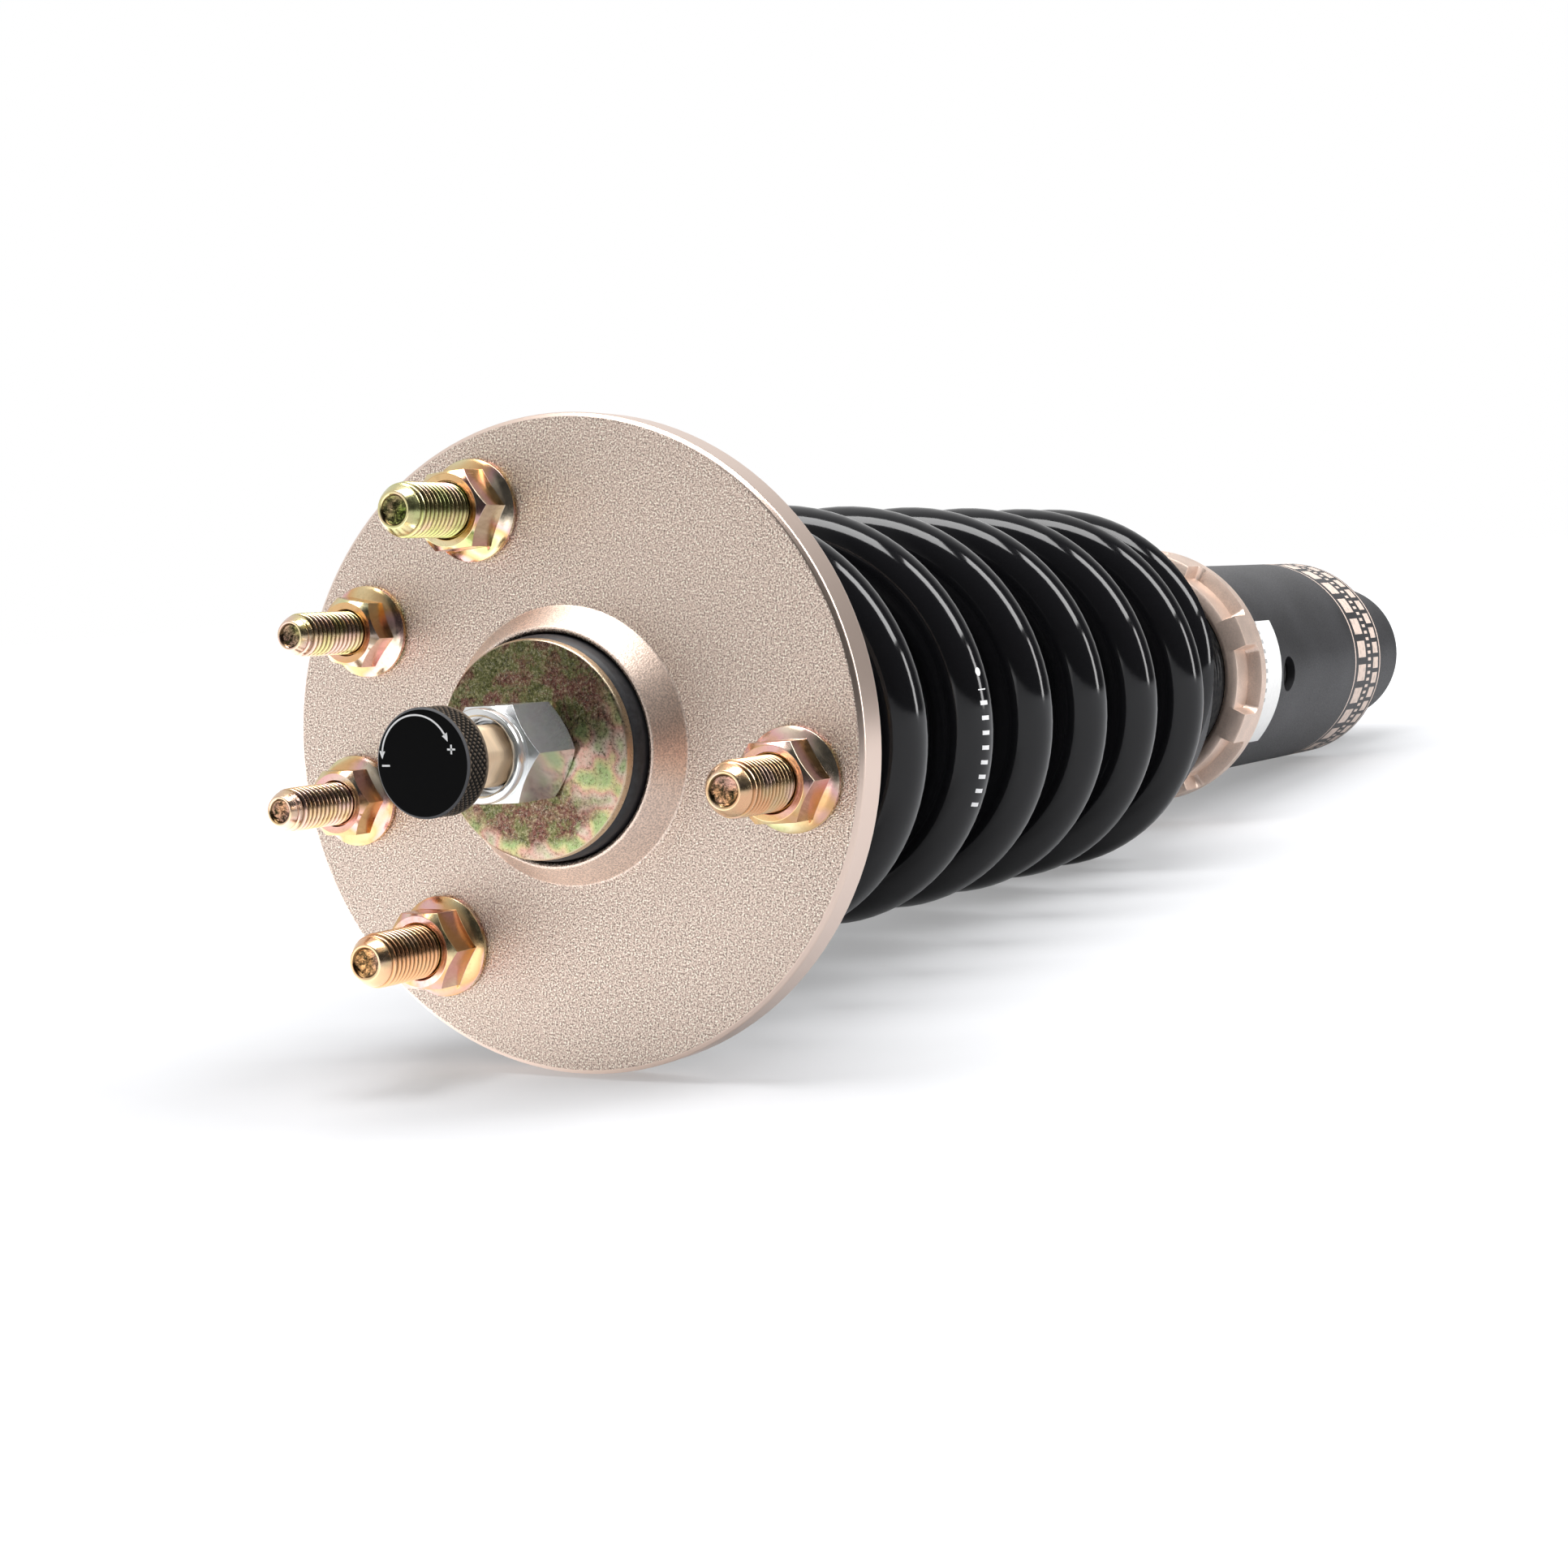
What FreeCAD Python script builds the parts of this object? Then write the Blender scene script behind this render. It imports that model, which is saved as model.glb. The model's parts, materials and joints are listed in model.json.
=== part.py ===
import FreeCAD, Part
import Sketcher
import math
import os
import re

# A coilover strut, upright: +Z runs up the damper axis and z = 0 is the top face of the mount plate.
# The lone large stud points to -Y. All sizes are in millimetres.

os.makedirs("parts", exist_ok=True)
doc = FreeCAD.newDocument("coilover")

# Driving dimensions

DIMENSIONS = {
    # mount plate, its boss and the web that the cushions clamp
    "plate_edge": 13.25,
    "plate_thickness": 8,
    "rim_chamfer": 0.8,
    "boss_height": 6,
    "boss_foot_radius": 25.4,
    "boss_lip_radius": 21.7,
    "boss_bore_radius": 20.7,
    "web_depth": 1,
    "web_thickness": 4,
    "web_bore_radius": 11.5,
    # studs and flange nuts
    "stud_pocket_wall": 3.65,
    "pair_spacing": 32,
    "pair_inset": 1.75,
    "large_stud_radius": 5,
    "large_stud_length": 25,
    "large_nut_height": 9,
    "large_nut_flats": 14,
    "large_flange_radius": 9.4,
    "small_stud_radius": 4,
    "small_stud_length": 24.2,
    "small_nut_height": 7.5,
    "small_nut_flats": 12,
    "small_flange_radius": 8.5,
    "flange_rim": 1.1,
    "flange_dome": 2.4,
    "thread_depth": 0.6,
    "stud_tip_chamfer": 1,
    "press_shoulder": 0.4,
    "stud_head_overhang": 2.5,
    "stud_head_play": 0.1,
    "stud_head_thickness": 2.4,
    # rubber mount and rod nut
    "washer_radius": 19.8,
    "washer_thickness": 2.4,
    "washer_top": 11.4,
    "washer_edge": 0.7,
    "cushion_radius": 20.4,
    "cushion_waist": 19,
    "cushion_dome": 2.4,
    "cushion_drop": 5.5,
    "sleeve_radius": 8.5,
    "lower_washer_radius": 19.5,
    "lower_washer_thickness": 2.5,
    "rod_thread_radius": 6,
    "rod_nut_flats": 17,
    "rod_nut_hex": 13.8,
    "nut_chamfer": 1.2,
    "rod_nut_turn": 39,
    "collar_height": 3,
    "collar_radius": 8.4,
    "collar_neck": 0.4,
    "collar_edge": 0.75,
    "collar_bore_radius": 6.9,
    # adjuster
    "adjuster_flats": 10.8,
    "adjuster_corner_radius": 5.75,
    "adjuster_turn": 40,
    "knob_base": 38.7,
    "knob_radius": 9.45,
    "knob_length": 6.1,
    "knob_chamfer": 0.3,
    "knob_gap": 0.3,
    "spindle_radius": 2.4,
    "spindle_length": 14,
    "grub_radius": 1.5,
    "grub_angle": 97.5,
    "detent_radius": 1,
    "detent_offset": 4.2,
    "detent_depth": 4,
    "detent_wire_radius": 0.15,
    "detent_turns": 4,
    # thrust bearing and upper spring seat
    "race_half_width": 4,
    "race_thickness": 1.5,
    "ball_radius": 1.6,
    "ball_count": 24,
    "ball_play": 0.05,
    "cage_half_width": 2.4,
    "cage_thickness": 0.8,
    "pocket_depth": 3.5,
    "pocket_play": 0.5,
    "seat_gap": 1.5,
    "seat_flange": 3,
    "seat_rim": 0.5,
    "pilot_play": 0.4,
    "pilot_height": 7.5,
    "neck_room": 1.7,
    "neck_wall": 4.2,
    "neck_height": 6,
    # coil spring
    "spring_inner_radius": 31,
    "wire_radius": 6.5,
    "spring_length": 212.5,
    "active_turns": 6.27,
    "spring_tip_angle": 237.5,
    # piston rod, bump stop and dust boot
    "rod_radius": 11,
    "rod_bore_radius": 3.2,
    "rod_end_radius": 5,
    "orifice_radius": 1.2,
    "bump_stop_length": 34,
    "bump_stop_radius": 19.5,
    "bump_stop_waist": 15.5,
    "boot_length": 108,
    "boot_play": 0.7,
    "boot_wall": 1.2,
    "boot_fold": 1.8,
    "boot_folds": 6,
    "boot_skirt": 30,
    # damper tube and what it holds
    "tube_top_drop": 102,
    "tube_end_gap": 23.7,
    "tube_room": 4.5,
    "tube_wall": 4.5,
    "tube_chamfer": 1,
    "tube_pitch": 2,
    "tube_thread_depth": 0.9,
    "tube_thread_crest": 0.28,
    "tube_thread_drop": 4,
    "tube_thread_count": 88,
    "slide_fit": 0.05,
    "guide_drop": 4,
    "guide_length": 22,
    "wiper_depth": 3,
    "wiper_radius": 15,
    "land_thickness": 2,
    "land_play": 0.6,
    "seal_height": 5,
    "seal_radius": 15.5,
    "bushing_radius": 12.5,
    "snap_ring_thickness": 1.6,
    "snap_ring_width": 2.5,
    "snap_ring_gap": 40,
    "rebound_gap": 2,
    "rebound_stop_height": 3.5,
    "rebound_stop_radius": 16,
    "shim_thickness": 0.5,
    "shim_step": 2.2,
    "shim_radius": 17,
    "compression_shim_count": 3,
    "rebound_shim_count": 4,
    "piston_height": 14,
    "piston_band_height": 8,
    "piston_band_depth": 1,
    "port_radius": 2,
    "port_circle": 13.5,
    "port_count": 6,
    "piston_nut_flats": 17,
    "piston_nut_height": 8,
    "rod_end_stub": 1,
    "needle_radius": 2.4,
    "needle_tip_radius": 0.4,
    "needle_taper": 5.5,
    "needle_stand_off": 0.5,
    "floating_piston_drop": 172,
    "floating_piston_height": 16,
    "piston_ring_height": 3,
    "piston_ring_depth": 2.5,
    "base_cap_height": 12,
    "gas_screw_radius": 4,
    "gas_screw_length": 6,
    # lower spring seat
    "perch_flange": 7,
    "perch_shelf": 9,
    "perch_hub_height": 10,
    "perch_ring_height": 10,
    "perch_ring_wall": 5,
    # lower bracket
    "bracket_gap": 34,
    "lock_ring_height": 13.3,
    "lock_ring_wall": 7.15,
    "lock_ring_lip": 4.4,
    "lock_ring_chamfer": 0.9,
    "slot_floor_wall": 3.7,
    "slot_angle": 30,
    "slot_count": 8,
    "slot_phase": 275.5,
    "bracket_length": 120.4,
    "bracket_wall": 2.3,
    "bracket_floor": 8,
    "bracket_chamfer": 0.8,
    "sight_hole_radius": 4.8,
    "sight_hole_drop": 33.4,
    "sight_hole_angle": 274.5,
    "spigot_step": 7.95,
    "spigot_length": 44.8,
    "spigot_tenon_radius": 14,
    "spigot_chamfer": 2,
    "label_start": 236,
    "label_angle": 69,
    "label_drop": 2,
    "label_height": 23.8,
    "label_thickness": 0.3,
    "label_glue": 0.05,
}

# Places worked out from the dimensions: levels along the damper axis, and radii shared by two pieces

PLACES = {
    "tube_radius": "spring_inner_radius - tube_room",
    "tube_bore_radius": "tube_radius - tube_wall",
    "neck_radius": "tube_radius + neck_room",
    "seat_bore_radius": "neck_radius - neck_wall",
    "seat_radius": "spring_inner_radius + 2 * wire_radius + seat_rim",
    "bearing_radius": "spring_inner_radius",
    "perch_radius": "spring_inner_radius + perch_shelf",
    "perch_ring_radius": "tube_radius + perch_ring_wall",
    "lock_ring_radius": "tube_radius + lock_ring_wall",
    "slot_floor_radius": "tube_radius + slot_floor_wall",
    "bracket_radius": "tube_radius + bracket_wall",
    "spigot_radius": "bracket_radius - spigot_step",
    "bearing_pocket_bore": "bearing_radius - race_half_width - pocket_play",
    "bearing_pocket_radius": "bearing_radius + race_half_width + pocket_play",
    "large_recess_radius": "large_stud_radius + stud_head_overhang + stud_head_play",
    "stud_circle_radius": "bearing_pocket_radius + stud_pocket_wall + large_recess_radius",
    "pair_offset": "stud_circle_radius - pair_inset",
    "plate_radius": "stud_circle_radius + plate_edge",
    "plate_underside": "-plate_thickness",
    "web_top": "-web_depth",
    "web_underside": "-web_depth - web_thickness",
    "washer_underside": "washer_top - washer_thickness",
    "lower_washer_top": "plate_underside - cushion_drop",
    "rod_shoulder": "lower_washer_top - lower_washer_thickness",
    "rod_top": "washer_top + rod_nut_hex",
    "pocket_top": "plate_underside + pocket_depth",
    "seat_top": "plate_underside - seat_gap",
    "race_gap": "pocket_depth + seat_gap - 2 * race_thickness",
    "ball_level": "seat_top + race_thickness + race_gap / 2",
    "groove_radius": "ball_radius + ball_play",
    "groove_centre": "race_gap / 2",
    "spring_top": "seat_top - seat_flange",
    "spring_bottom": "spring_top - spring_length",
    "pilot_radius": "spring_inner_radius - pilot_play",
    "pilot_foot": "spring_top - pilot_height",
    "bump_stop_foot": "rod_shoulder - bump_stop_length",
    "tube_top": "rod_shoulder - tube_top_drop",
    "guide_top": "tube_top - guide_drop",
    "guide_foot": "guide_top - guide_length",
    "bushing_top": "guide_top - wiper_depth - 2 * land_thickness - seal_height",
    "sliding_rod_bore": "rod_radius + slide_fit",
    "sliding_tube_radius": "tube_bore_radius - slide_fit",
    "threaded_bore": "tube_radius + slide_fit",
    "rebound_stop_top": "guide_foot - rebound_gap",
    "rod_end_shoulder": "rebound_stop_top - rebound_stop_height",
    "piston_top": "rod_end_shoulder - compression_shim_count * shim_thickness",
    "piston_foot": "piston_top - piston_height",
    "piston_nut_top": "piston_foot - rebound_shim_count * shim_thickness",
    "rod_foot": "piston_nut_top - piston_nut_height - rod_end_stub",
    "floating_piston_top": "tube_top - floating_piston_drop",
    "perch_underside": "spring_bottom - perch_flange",
    "perch_ring_foot": "perch_underside - perch_ring_height",
    "lock_ring_top": "perch_ring_foot - bracket_gap",
    "bracket_top": "lock_ring_top - lock_ring_height",
    "bracket_foot": "bracket_top - bracket_length",
    "tube_foot": "bracket_foot + bracket_floor + tube_end_gap",
    "tube_length": "tube_top - tube_foot",
}

dims = doc.addObject("Spreadsheet::Sheet", "Dims")
for row_number, (word, value) in enumerate(DIMENSIONS.items(), start=1):
    dims.set(f"A{row_number}", word)
    dims.set(f"B{row_number}", str(value))
    dims.setAlias(f"B{row_number}", word)
doc.recompute()


def bound(text):
    """Turn words such as rod_radius into references to the sheet that holds them."""
    def reference(match):
        word = match.group(0)
        return ("Places." if word in PLACES else "Dims.") + word
    return re.sub(r"\b[a-z]+(?:_[a-z]+)+\b", reference, text)


places = doc.addObject("Spreadsheet::Sheet", "Places")
for row_number, word in enumerate(PLACES, start=1):
    places.set(f"A{row_number}", word)
    places.setAlias(f"B{row_number}", word)
for row_number, text in enumerate(PLACES.values(), start=1):
    places.set(f"B{row_number}", "=" + bound(text).replace("Places.", ""))
doc.recompute()


def size(text):
    """The number that an expression over the sheets gives now."""
    value = dims.evalExpression(bound(text))
    return float(getattr(value, "Value", value))


# Building blocks

def bind(thing, sizes):
    """Bind properties of an object to expressions over the sheets."""
    for name, text in sizes.items():
        thing.setExpression(name, bound(text))
    return thing


def level(thing, text):
    """Seat an object at a height along the damper axis."""
    return bind(thing, {"Placement.Base.z": text})


def origin_plane(body, role):
    return next(item for item in body.Origin.OriginFeatures if item.Role == role)


def outline_sketch(body, name, points):
    """A closed outline of straight runs in the body's XZ plane: every corner is bound by its two distances."""
    sketch = body.newObject("Sketcher::SketchObject", name)
    sketch.AttachmentSupport = [(origin_plane(body, "XZ_Plane"), "")]
    sketch.MapMode = "FlatFace"
    corners = [FreeCAD.Vector(size(out), size(up), 0) for out, up in points]
    count = len(corners)
    for i, corner in enumerate(corners):
        sketch.addGeometry(Part.LineSegment(corner, corners[(i + 1) % count]), False)
    for i in range(count):
        sketch.addConstraint(Sketcher.Constraint("Coincident", i, 2, (i + 1) % count, 1))
    for i, (out, up) in enumerate(points):
        if out == "0":
            sketch.addConstraint(Sketcher.Constraint("PointOnObject", i, 1, -2))
        else:
            index = sketch.addConstraint(Sketcher.Constraint("DistanceX", -1, 1, i, 1, corners[i].x))
            sketch.setExpression(f"Constraints[{index}]", bound(out))
        if up == "0":
            sketch.addConstraint(Sketcher.Constraint("PointOnObject", i, 1, -1))
        else:
            index = sketch.addConstraint(Sketcher.Constraint("DistanceY", -1, 1, i, 1, corners[i].y))
            sketch.setExpression(f"Constraints[{index}]", bound(up))
    return sketch


def turned(label, points, height="0"):
    """A body of revolution about Z from an outline of (distance from the axis, height) corners."""
    body = doc.addObject("PartDesign::Body", label)
    body.Label = label
    sketch = outline_sketch(body, label + "_outline", points)
    revolution = body.newObject("PartDesign::Revolution", label + "_turned")
    revolution.Profile = sketch
    revolution.ReferenceAxis = (sketch, ["V_Axis"])
    revolution.Angle = 360
    sketch.Visibility = False
    if height != "0":
        level(body, height)
    return body


def cylinder(label, radius, length, height="0"):
    pin = doc.addObject("Part::Cylinder", label)
    return bind(pin, {"Radius": radius, "Height": length, "Placement.Base.z": height})


def hexagon(label, flats, length, height="0", turn="0"):
    """A hexagonal prism, given its size across flats and the direction of one corner."""
    prism = doc.addObject("Part::Prism", label)
    prism.Polygon = 6
    prism.Placement = FreeCAD.Placement(
        FreeCAD.Vector(0, 0, 0), FreeCAD.Rotation(FreeCAD.Vector(0, 0, 1), size(turn))
    )
    return bind(prism, {"Circumradius": f"({flats}) / sqrt(3)", "Height": length, "Placement.Base.z": height})


def cut(label, base, tool):
    result = doc.addObject("Part::Cut", label)
    result.Base = base
    result.Tool = tool
    result.Label = label
    return result


def fuse(label, pieces):
    result = doc.addObject("Part::MultiFuse", label)
    result.Shapes = pieces
    result.Label = label
    return result


def common(label, base, tool):
    result = doc.addObject("Part::Common", label)
    result.Base = base
    result.Tool = tool
    result.Label = label
    return result


def copies(label, original, spots):
    """A group of like pieces: links to one original, each at (x, y, z, turn about Z)."""
    links = []
    for number, (across, along, up, turn) in enumerate(spots, start=1):
        link = doc.addObject("App::Link", f"{label}_{number}")
        link.LinkedObject = original
        link.LinkTransform = True
        link.Placement = FreeCAD.Placement(
            FreeCAD.Vector(0, 0, 0), FreeCAD.Rotation(FreeCAD.Vector(0, 0, 1), turn)
        )
        bind(link, {"Placement.Base.x": across, "Placement.Base.y": along, "Placement.Base.z": up})
        links.append(link)
    group = doc.addObject("Part::Compound", label)
    group.Links = links
    group.Label = label
    return group


def around(radius, count, up, phase=0):
    """Spots at equal steps on a circle, each turned to face outward."""
    step = 360 / count
    return [
        (f"({radius}) * cos({phase + i * step})", f"({radius}) * sin({phase + i * step})", up, phase + i * step)
        for i in range(count)
    ]


finished = []


def finish(piece):
    finished.append(piece)
    return piece


# Mount plate, studs and flange nuts

LARGE_STUD_SPOTS = [
    ("0", "-stud_circle_radius"),
    ("stud_circle_radius * cos(30)", "stud_circle_radius * sin(30)"),
    ("-stud_circle_radius * cos(30)", "stud_circle_radius * sin(30)"),
]
SMALL_STUD_SPOTS = [("pair_spacing / 2", "pair_offset"), ("-pair_spacing / 2", "pair_offset")]
LARGE_NUT_TURNS = [40, 42, 38]
SMALL_NUT_TURNS = [27, 38]


def stud_spots(spots, up="0", turns=(0, 0, 0)):
    return [(across, along, up, turn) for (across, along), turn in zip(spots, turns)]


def stud_hole(label, stud_radius):
    """The hole that a stud is pressed into, with its head recess in the underside."""
    return turned(label, [
        ("0", "-plate_thickness - 1"),
        (f"{stud_radius} + stud_head_overhang + stud_head_play", "-plate_thickness - 1"),
        (f"{stud_radius} + stud_head_overhang + stud_head_play", "-plate_thickness + stud_head_thickness"),
        (f"{stud_radius} + press_shoulder", "-plate_thickness + stud_head_thickness"),
        (f"{stud_radius} + press_shoulder", "1"),
        ("0", "1"),
    ])


def top_plate():
    blank = turned("top_plate_blank", [
        ("web_bore_radius", "web_underside"),
        ("boss_bore_radius", "web_underside"),
        ("boss_bore_radius", "plate_underside"),
        ("bearing_pocket_bore", "plate_underside"),
        ("bearing_pocket_bore", "pocket_top"),
        ("bearing_pocket_radius", "pocket_top"),
        ("bearing_pocket_radius", "plate_underside"),
        ("plate_radius - rim_chamfer", "plate_underside"),
        ("plate_radius", "plate_underside + rim_chamfer"),
        ("plate_radius", "-rim_chamfer"),
        ("plate_radius - rim_chamfer", "0"),
        ("boss_foot_radius", "0"),
        ("boss_lip_radius", "boss_height"),
        ("boss_bore_radius + 0.4", "boss_height"),
        ("boss_bore_radius", "boss_height - 0.6"),
        ("boss_bore_radius", "web_top"),
        ("web_bore_radius", "web_top"),
    ])
    large_holes = copies("large_stud_holes", stud_hole("large_stud_hole", "large_stud_radius"),
                         stud_spots(LARGE_STUD_SPOTS))
    small_holes = copies("small_stud_holes", stud_hole("small_stud_hole", "small_stud_radius"),
                         stud_spots(SMALL_STUD_SPOTS))
    drilled = cut("top_plate_drilled", blank, large_holes)
    finish(cut("top_plate", drilled, small_holes))


def stud(label, radius, length, nut_height):
    """A pressed stud: head, press shoulder, the neck inside its nut at the thread's root, and the free thread."""
    return turned(label, [
        ("0", "-plate_thickness"),
        (f"{radius} + stud_head_overhang", "-plate_thickness"),
        (f"{radius} + stud_head_overhang", "-plate_thickness + stud_head_thickness"),
        (f"{radius} + press_shoulder", "-plate_thickness + stud_head_thickness"),
        (f"{radius} + press_shoulder", "-0.2"),
        (f"{radius} - thread_depth", "-0.2"),
        (f"{radius} - thread_depth", f"{nut_height}"),
        (f"{radius}", f"{nut_height}"),
        (f"{radius}", f"{length} - stud_tip_chamfer"),
        (f"{radius} - stud_tip_chamfer", f"{length}"),
        ("0", f"{length}"),
    ])


def flange_nut(label, radius, height, flats, flange_radius):
    """A hexagon flange nut, its corners chamfered and its bore at the thread's root."""
    prism = hexagon(label + "_hexagon", flats, height)
    corner = f"({flats}) / sqrt(3)"
    crown = turned(label + "_crown", [
        ("0", "0"),
        (corner, "0"),
        (corner, f"{height} - nut_chamfer"),
        (f"({flats}) / 2 - 0.4", f"{height}"),
        ("0", f"{height}"),
    ])
    flange = turned(label + "_flange", [
        ("0", "0"),
        (f"{flange_radius} - 0.3", "0"),
        (f"{flange_radius}", "0.4"),
        (f"{flange_radius}", "flange_rim"),
        (f"{flange_radius} - 0.7", "flange_rim + 0.5"),
        (f"({flats}) / 2 - 0.5", "flange_dome"),
        ("0", "flange_dome"),
    ])
    bore = turned(label + "_bore", [
        ("0", "-1"),
        (f"{radius} - thread_depth + slide_fit", "-1"),
        (f"{radius} - thread_depth + slide_fit", f"{height} - 0.9"),
        (f"{radius} + 0.4", f"{height} + 0.01"),
        (f"{radius} + 0.4", f"{height} + 1"),
        ("0", f"{height} + 1"),
    ])
    solid = fuse(label + "_solid", [common(label + "_crowned", prism, crown), flange])
    return cut(label, solid, bore)


def studs_and_nuts():
    large_stud = stud("large_stud", "large_stud_radius", "large_stud_length", "large_nut_height")
    small_stud = stud("small_stud", "small_stud_radius", "small_stud_length", "small_nut_height")
    large_nut = flange_nut("large_nut", "large_stud_radius", "large_nut_height",
                           "large_nut_flats", "large_flange_radius")
    small_nut = flange_nut("small_nut", "small_stud_radius", "small_nut_height",
                           "small_nut_flats", "small_flange_radius")
    finish(copies("large_studs", large_stud, stud_spots(LARGE_STUD_SPOTS)))
    finish(copies("small_studs", small_stud, stud_spots(SMALL_STUD_SPOTS)))
    finish(copies("large_flange_nuts", large_nut, stud_spots(LARGE_STUD_SPOTS, turns=LARGE_NUT_TURNS)))
    finish(copies("small_flange_nuts", small_nut, stud_spots(SMALL_STUD_SPOTS, turns=SMALL_NUT_TURNS)))


# Rubber mount between the plate and the rod

def rubber_mount():
    cushion_height = "washer_underside - web_top"
    finish(turned("upper_cushion", [
        ("sleeve_radius", "0"),
        ("cushion_radius", "0"),
        ("cushion_radius", f"{cushion_height} - cushion_dome"),
        ("cushion_radius - 0.4", f"{cushion_height} - cushion_dome * 0.4"),
        ("cushion_waist", f"{cushion_height}"),
        ("sleeve_radius", f"{cushion_height}"),
    ], "web_top"))
    drop = "lower_washer_top - web_underside"
    finish(turned("lower_cushion", [
        ("sleeve_radius", "0"),
        ("sleeve_radius", f"{drop}"),
        ("cushion_waist - 0.5", f"{drop}"),
        ("cushion_radius", f"{drop} + cushion_dome"),
        ("cushion_radius", "0"),
    ], "web_underside"))
    finish(turned("bush_sleeve", [
        ("rod_thread_radius + slide_fit", "0"),
        ("sleeve_radius", "0"),
        ("sleeve_radius", "washer_underside - lower_washer_top"),
        ("rod_thread_radius + slide_fit", "washer_underside - lower_washer_top"),
    ], "lower_washer_top"))
    finish(turned("top_washer", [
        ("rod_thread_radius + slide_fit", "0"),
        ("washer_radius - 0.3", "0"),
        ("washer_radius", "0.3"),
        ("washer_radius", "washer_thickness - washer_edge"),
        ("washer_radius - washer_edge * 0.3", "washer_thickness - washer_edge * 0.3"),
        ("washer_radius - washer_edge", "washer_thickness"),
        ("rod_thread_radius + slide_fit", "washer_thickness"),
    ], "washer_underside"))
    finish(turned("lower_washer", [
        ("rod_thread_radius + slide_fit", "0"),
        ("lower_washer_radius", "0"),
        ("lower_washer_radius", "lower_washer_thickness"),
        ("rod_thread_radius + slide_fit", "lower_washer_thickness"),
    ], "rod_shoulder"))


def rod_nut():
    """The tall rod nut: a hexagon chamfered at both ends under a round collar."""
    prism = hexagon("rod_nut_hexagon", "rod_nut_flats", "rod_nut_hex", "washer_top", "rod_nut_turn")
    corner = "rod_nut_flats / sqrt(3)"
    crown = turned("rod_nut_crown", [
        ("0", "0"),
        ("rod_nut_flats / 2 - 0.2", "0"),
        (corner, "nut_chamfer"),
        (corner, "rod_nut_hex - nut_chamfer"),
        ("rod_nut_flats / 2 - 0.2", "rod_nut_hex"),
        ("0", "rod_nut_hex"),
    ], "washer_top")
    collar = turned("rod_nut_collar", [
        ("0", "-0.5"),
        ("collar_radius - collar_neck", "-0.5"),
        ("collar_radius - collar_neck", "collar_height * 0.3"),
        ("collar_radius", "collar_height * 0.5"),
        ("collar_radius", "collar_height - collar_edge"),
        ("collar_radius - collar_edge * 0.3", "collar_height - collar_edge * 0.3"),
        ("collar_radius - collar_edge", "collar_height"),
        ("0", "collar_height"),
    ], "rod_top")
    bore = turned("rod_nut_bore", [
        ("0", "-1"),
        ("rod_thread_radius + slide_fit", "-1"),
        ("rod_thread_radius + slide_fit", "rod_nut_hex"),
        ("collar_bore_radius", "rod_nut_hex"),
        ("collar_bore_radius", "rod_nut_hex + collar_height - 0.3"),
        ("collar_bore_radius + 1.3", "rod_nut_hex + collar_height + 1"),
        ("0", "rod_nut_hex + collar_height + 1"),
    ], "washer_top")
    solid = fuse("rod_nut_solid", [common("rod_nut_crowned", prism, crown), collar])
    finish(cut("rod_nut", solid, bore))


# Rebound adjuster on top of the rod

def adjuster():
    prism = hexagon("adjuster_hexagon", "adjuster_flats", "knob_base - knob_gap - rod_top", "rod_top",
                    "adjuster_turn")
    bar = cylinder("adjuster_bar", "adjuster_corner_radius", "knob_base - knob_gap - rod_top", "rod_top")
    stem = common("adjuster_stem", bar, prism)
    bore = cylinder("adjuster_bore", "spindle_radius + slide_fit", "knob_base - rod_top + 2", "rod_top - 1")
    pocket = cylinder("detent_pocket", "detent_radius + slide_fit", "detent_depth + 1",
                      "knob_base - knob_gap - detent_depth")
    bind(pocket, {"Placement.Base.y": "-detent_offset"})
    bored = cut("adjuster_bored", stem, bore)
    finish(cut("adjuster_housing", bored, pocket))

    ball = doc.addObject("Part::Sphere", "detent_ball")
    bind(ball, {
        "Radius": "detent_radius",
        "Placement.Base.y": "-detent_offset",
        "Placement.Base.z": "knob_base - detent_radius - 0.05",
    })
    finish(ball)

    spring_length = size("detent_depth + knob_gap - 2 * detent_radius - 0.05")
    spring = doc.addObject("Part::Feature", "detent_spring")
    spring.Shape = coil(
        size("detent_radius - 2 * detent_wire_radius"),
        size("detent_wire_radius"),
        spring_length,
        size("detent_turns"),
        0,
    )
    bind(spring, {
        "Placement.Base.y": "-detent_offset",
        "Placement.Base.z": "knob_base - knob_gap - detent_depth",
    })
    finish(spring)

    knob_blank = turned("knob_blank", [
        ("spindle_radius", "0"),
        ("knob_radius - knob_chamfer", "0"),
        ("knob_radius", "knob_chamfer"),
        ("knob_radius", "knob_length - knob_chamfer"),
        ("knob_radius - knob_chamfer", "knob_length"),
        ("0", "knob_length"),
        ("0", "knob_length - 1.2"),
        ("spindle_radius", "knob_length - 1.2"),
    ], "knob_base")
    grub_hole = radial_pin("grub_hole", "grub_radius + slide_fit", "knob_radius", "knob_base + knob_length / 2")
    finish(cut("adjuster_knob", knob_blank, grub_hole))
    finish(turned("adjuster_spindle", [
        ("0", "-spindle_length"),
        ("spindle_radius - 0.4", "-spindle_length"),
        ("spindle_radius", "0.4 - spindle_length"),
        ("spindle_radius", "0"),
        ("0", "0"),
    ], "knob_base + knob_length - 1.2"))
    grub = radial_pin("grub_blank", "grub_radius", "knob_radius - spindle_radius - 0.6",
                      "knob_base + knob_length / 2", "spindle_radius")
    grub_socket = radial_pin("grub_socket", "grub_radius / 2", "2",
                             "knob_base + knob_length / 2", "knob_radius - 2")
    finish(cut("knob_grub_screw", grub, grub_socket))


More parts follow.
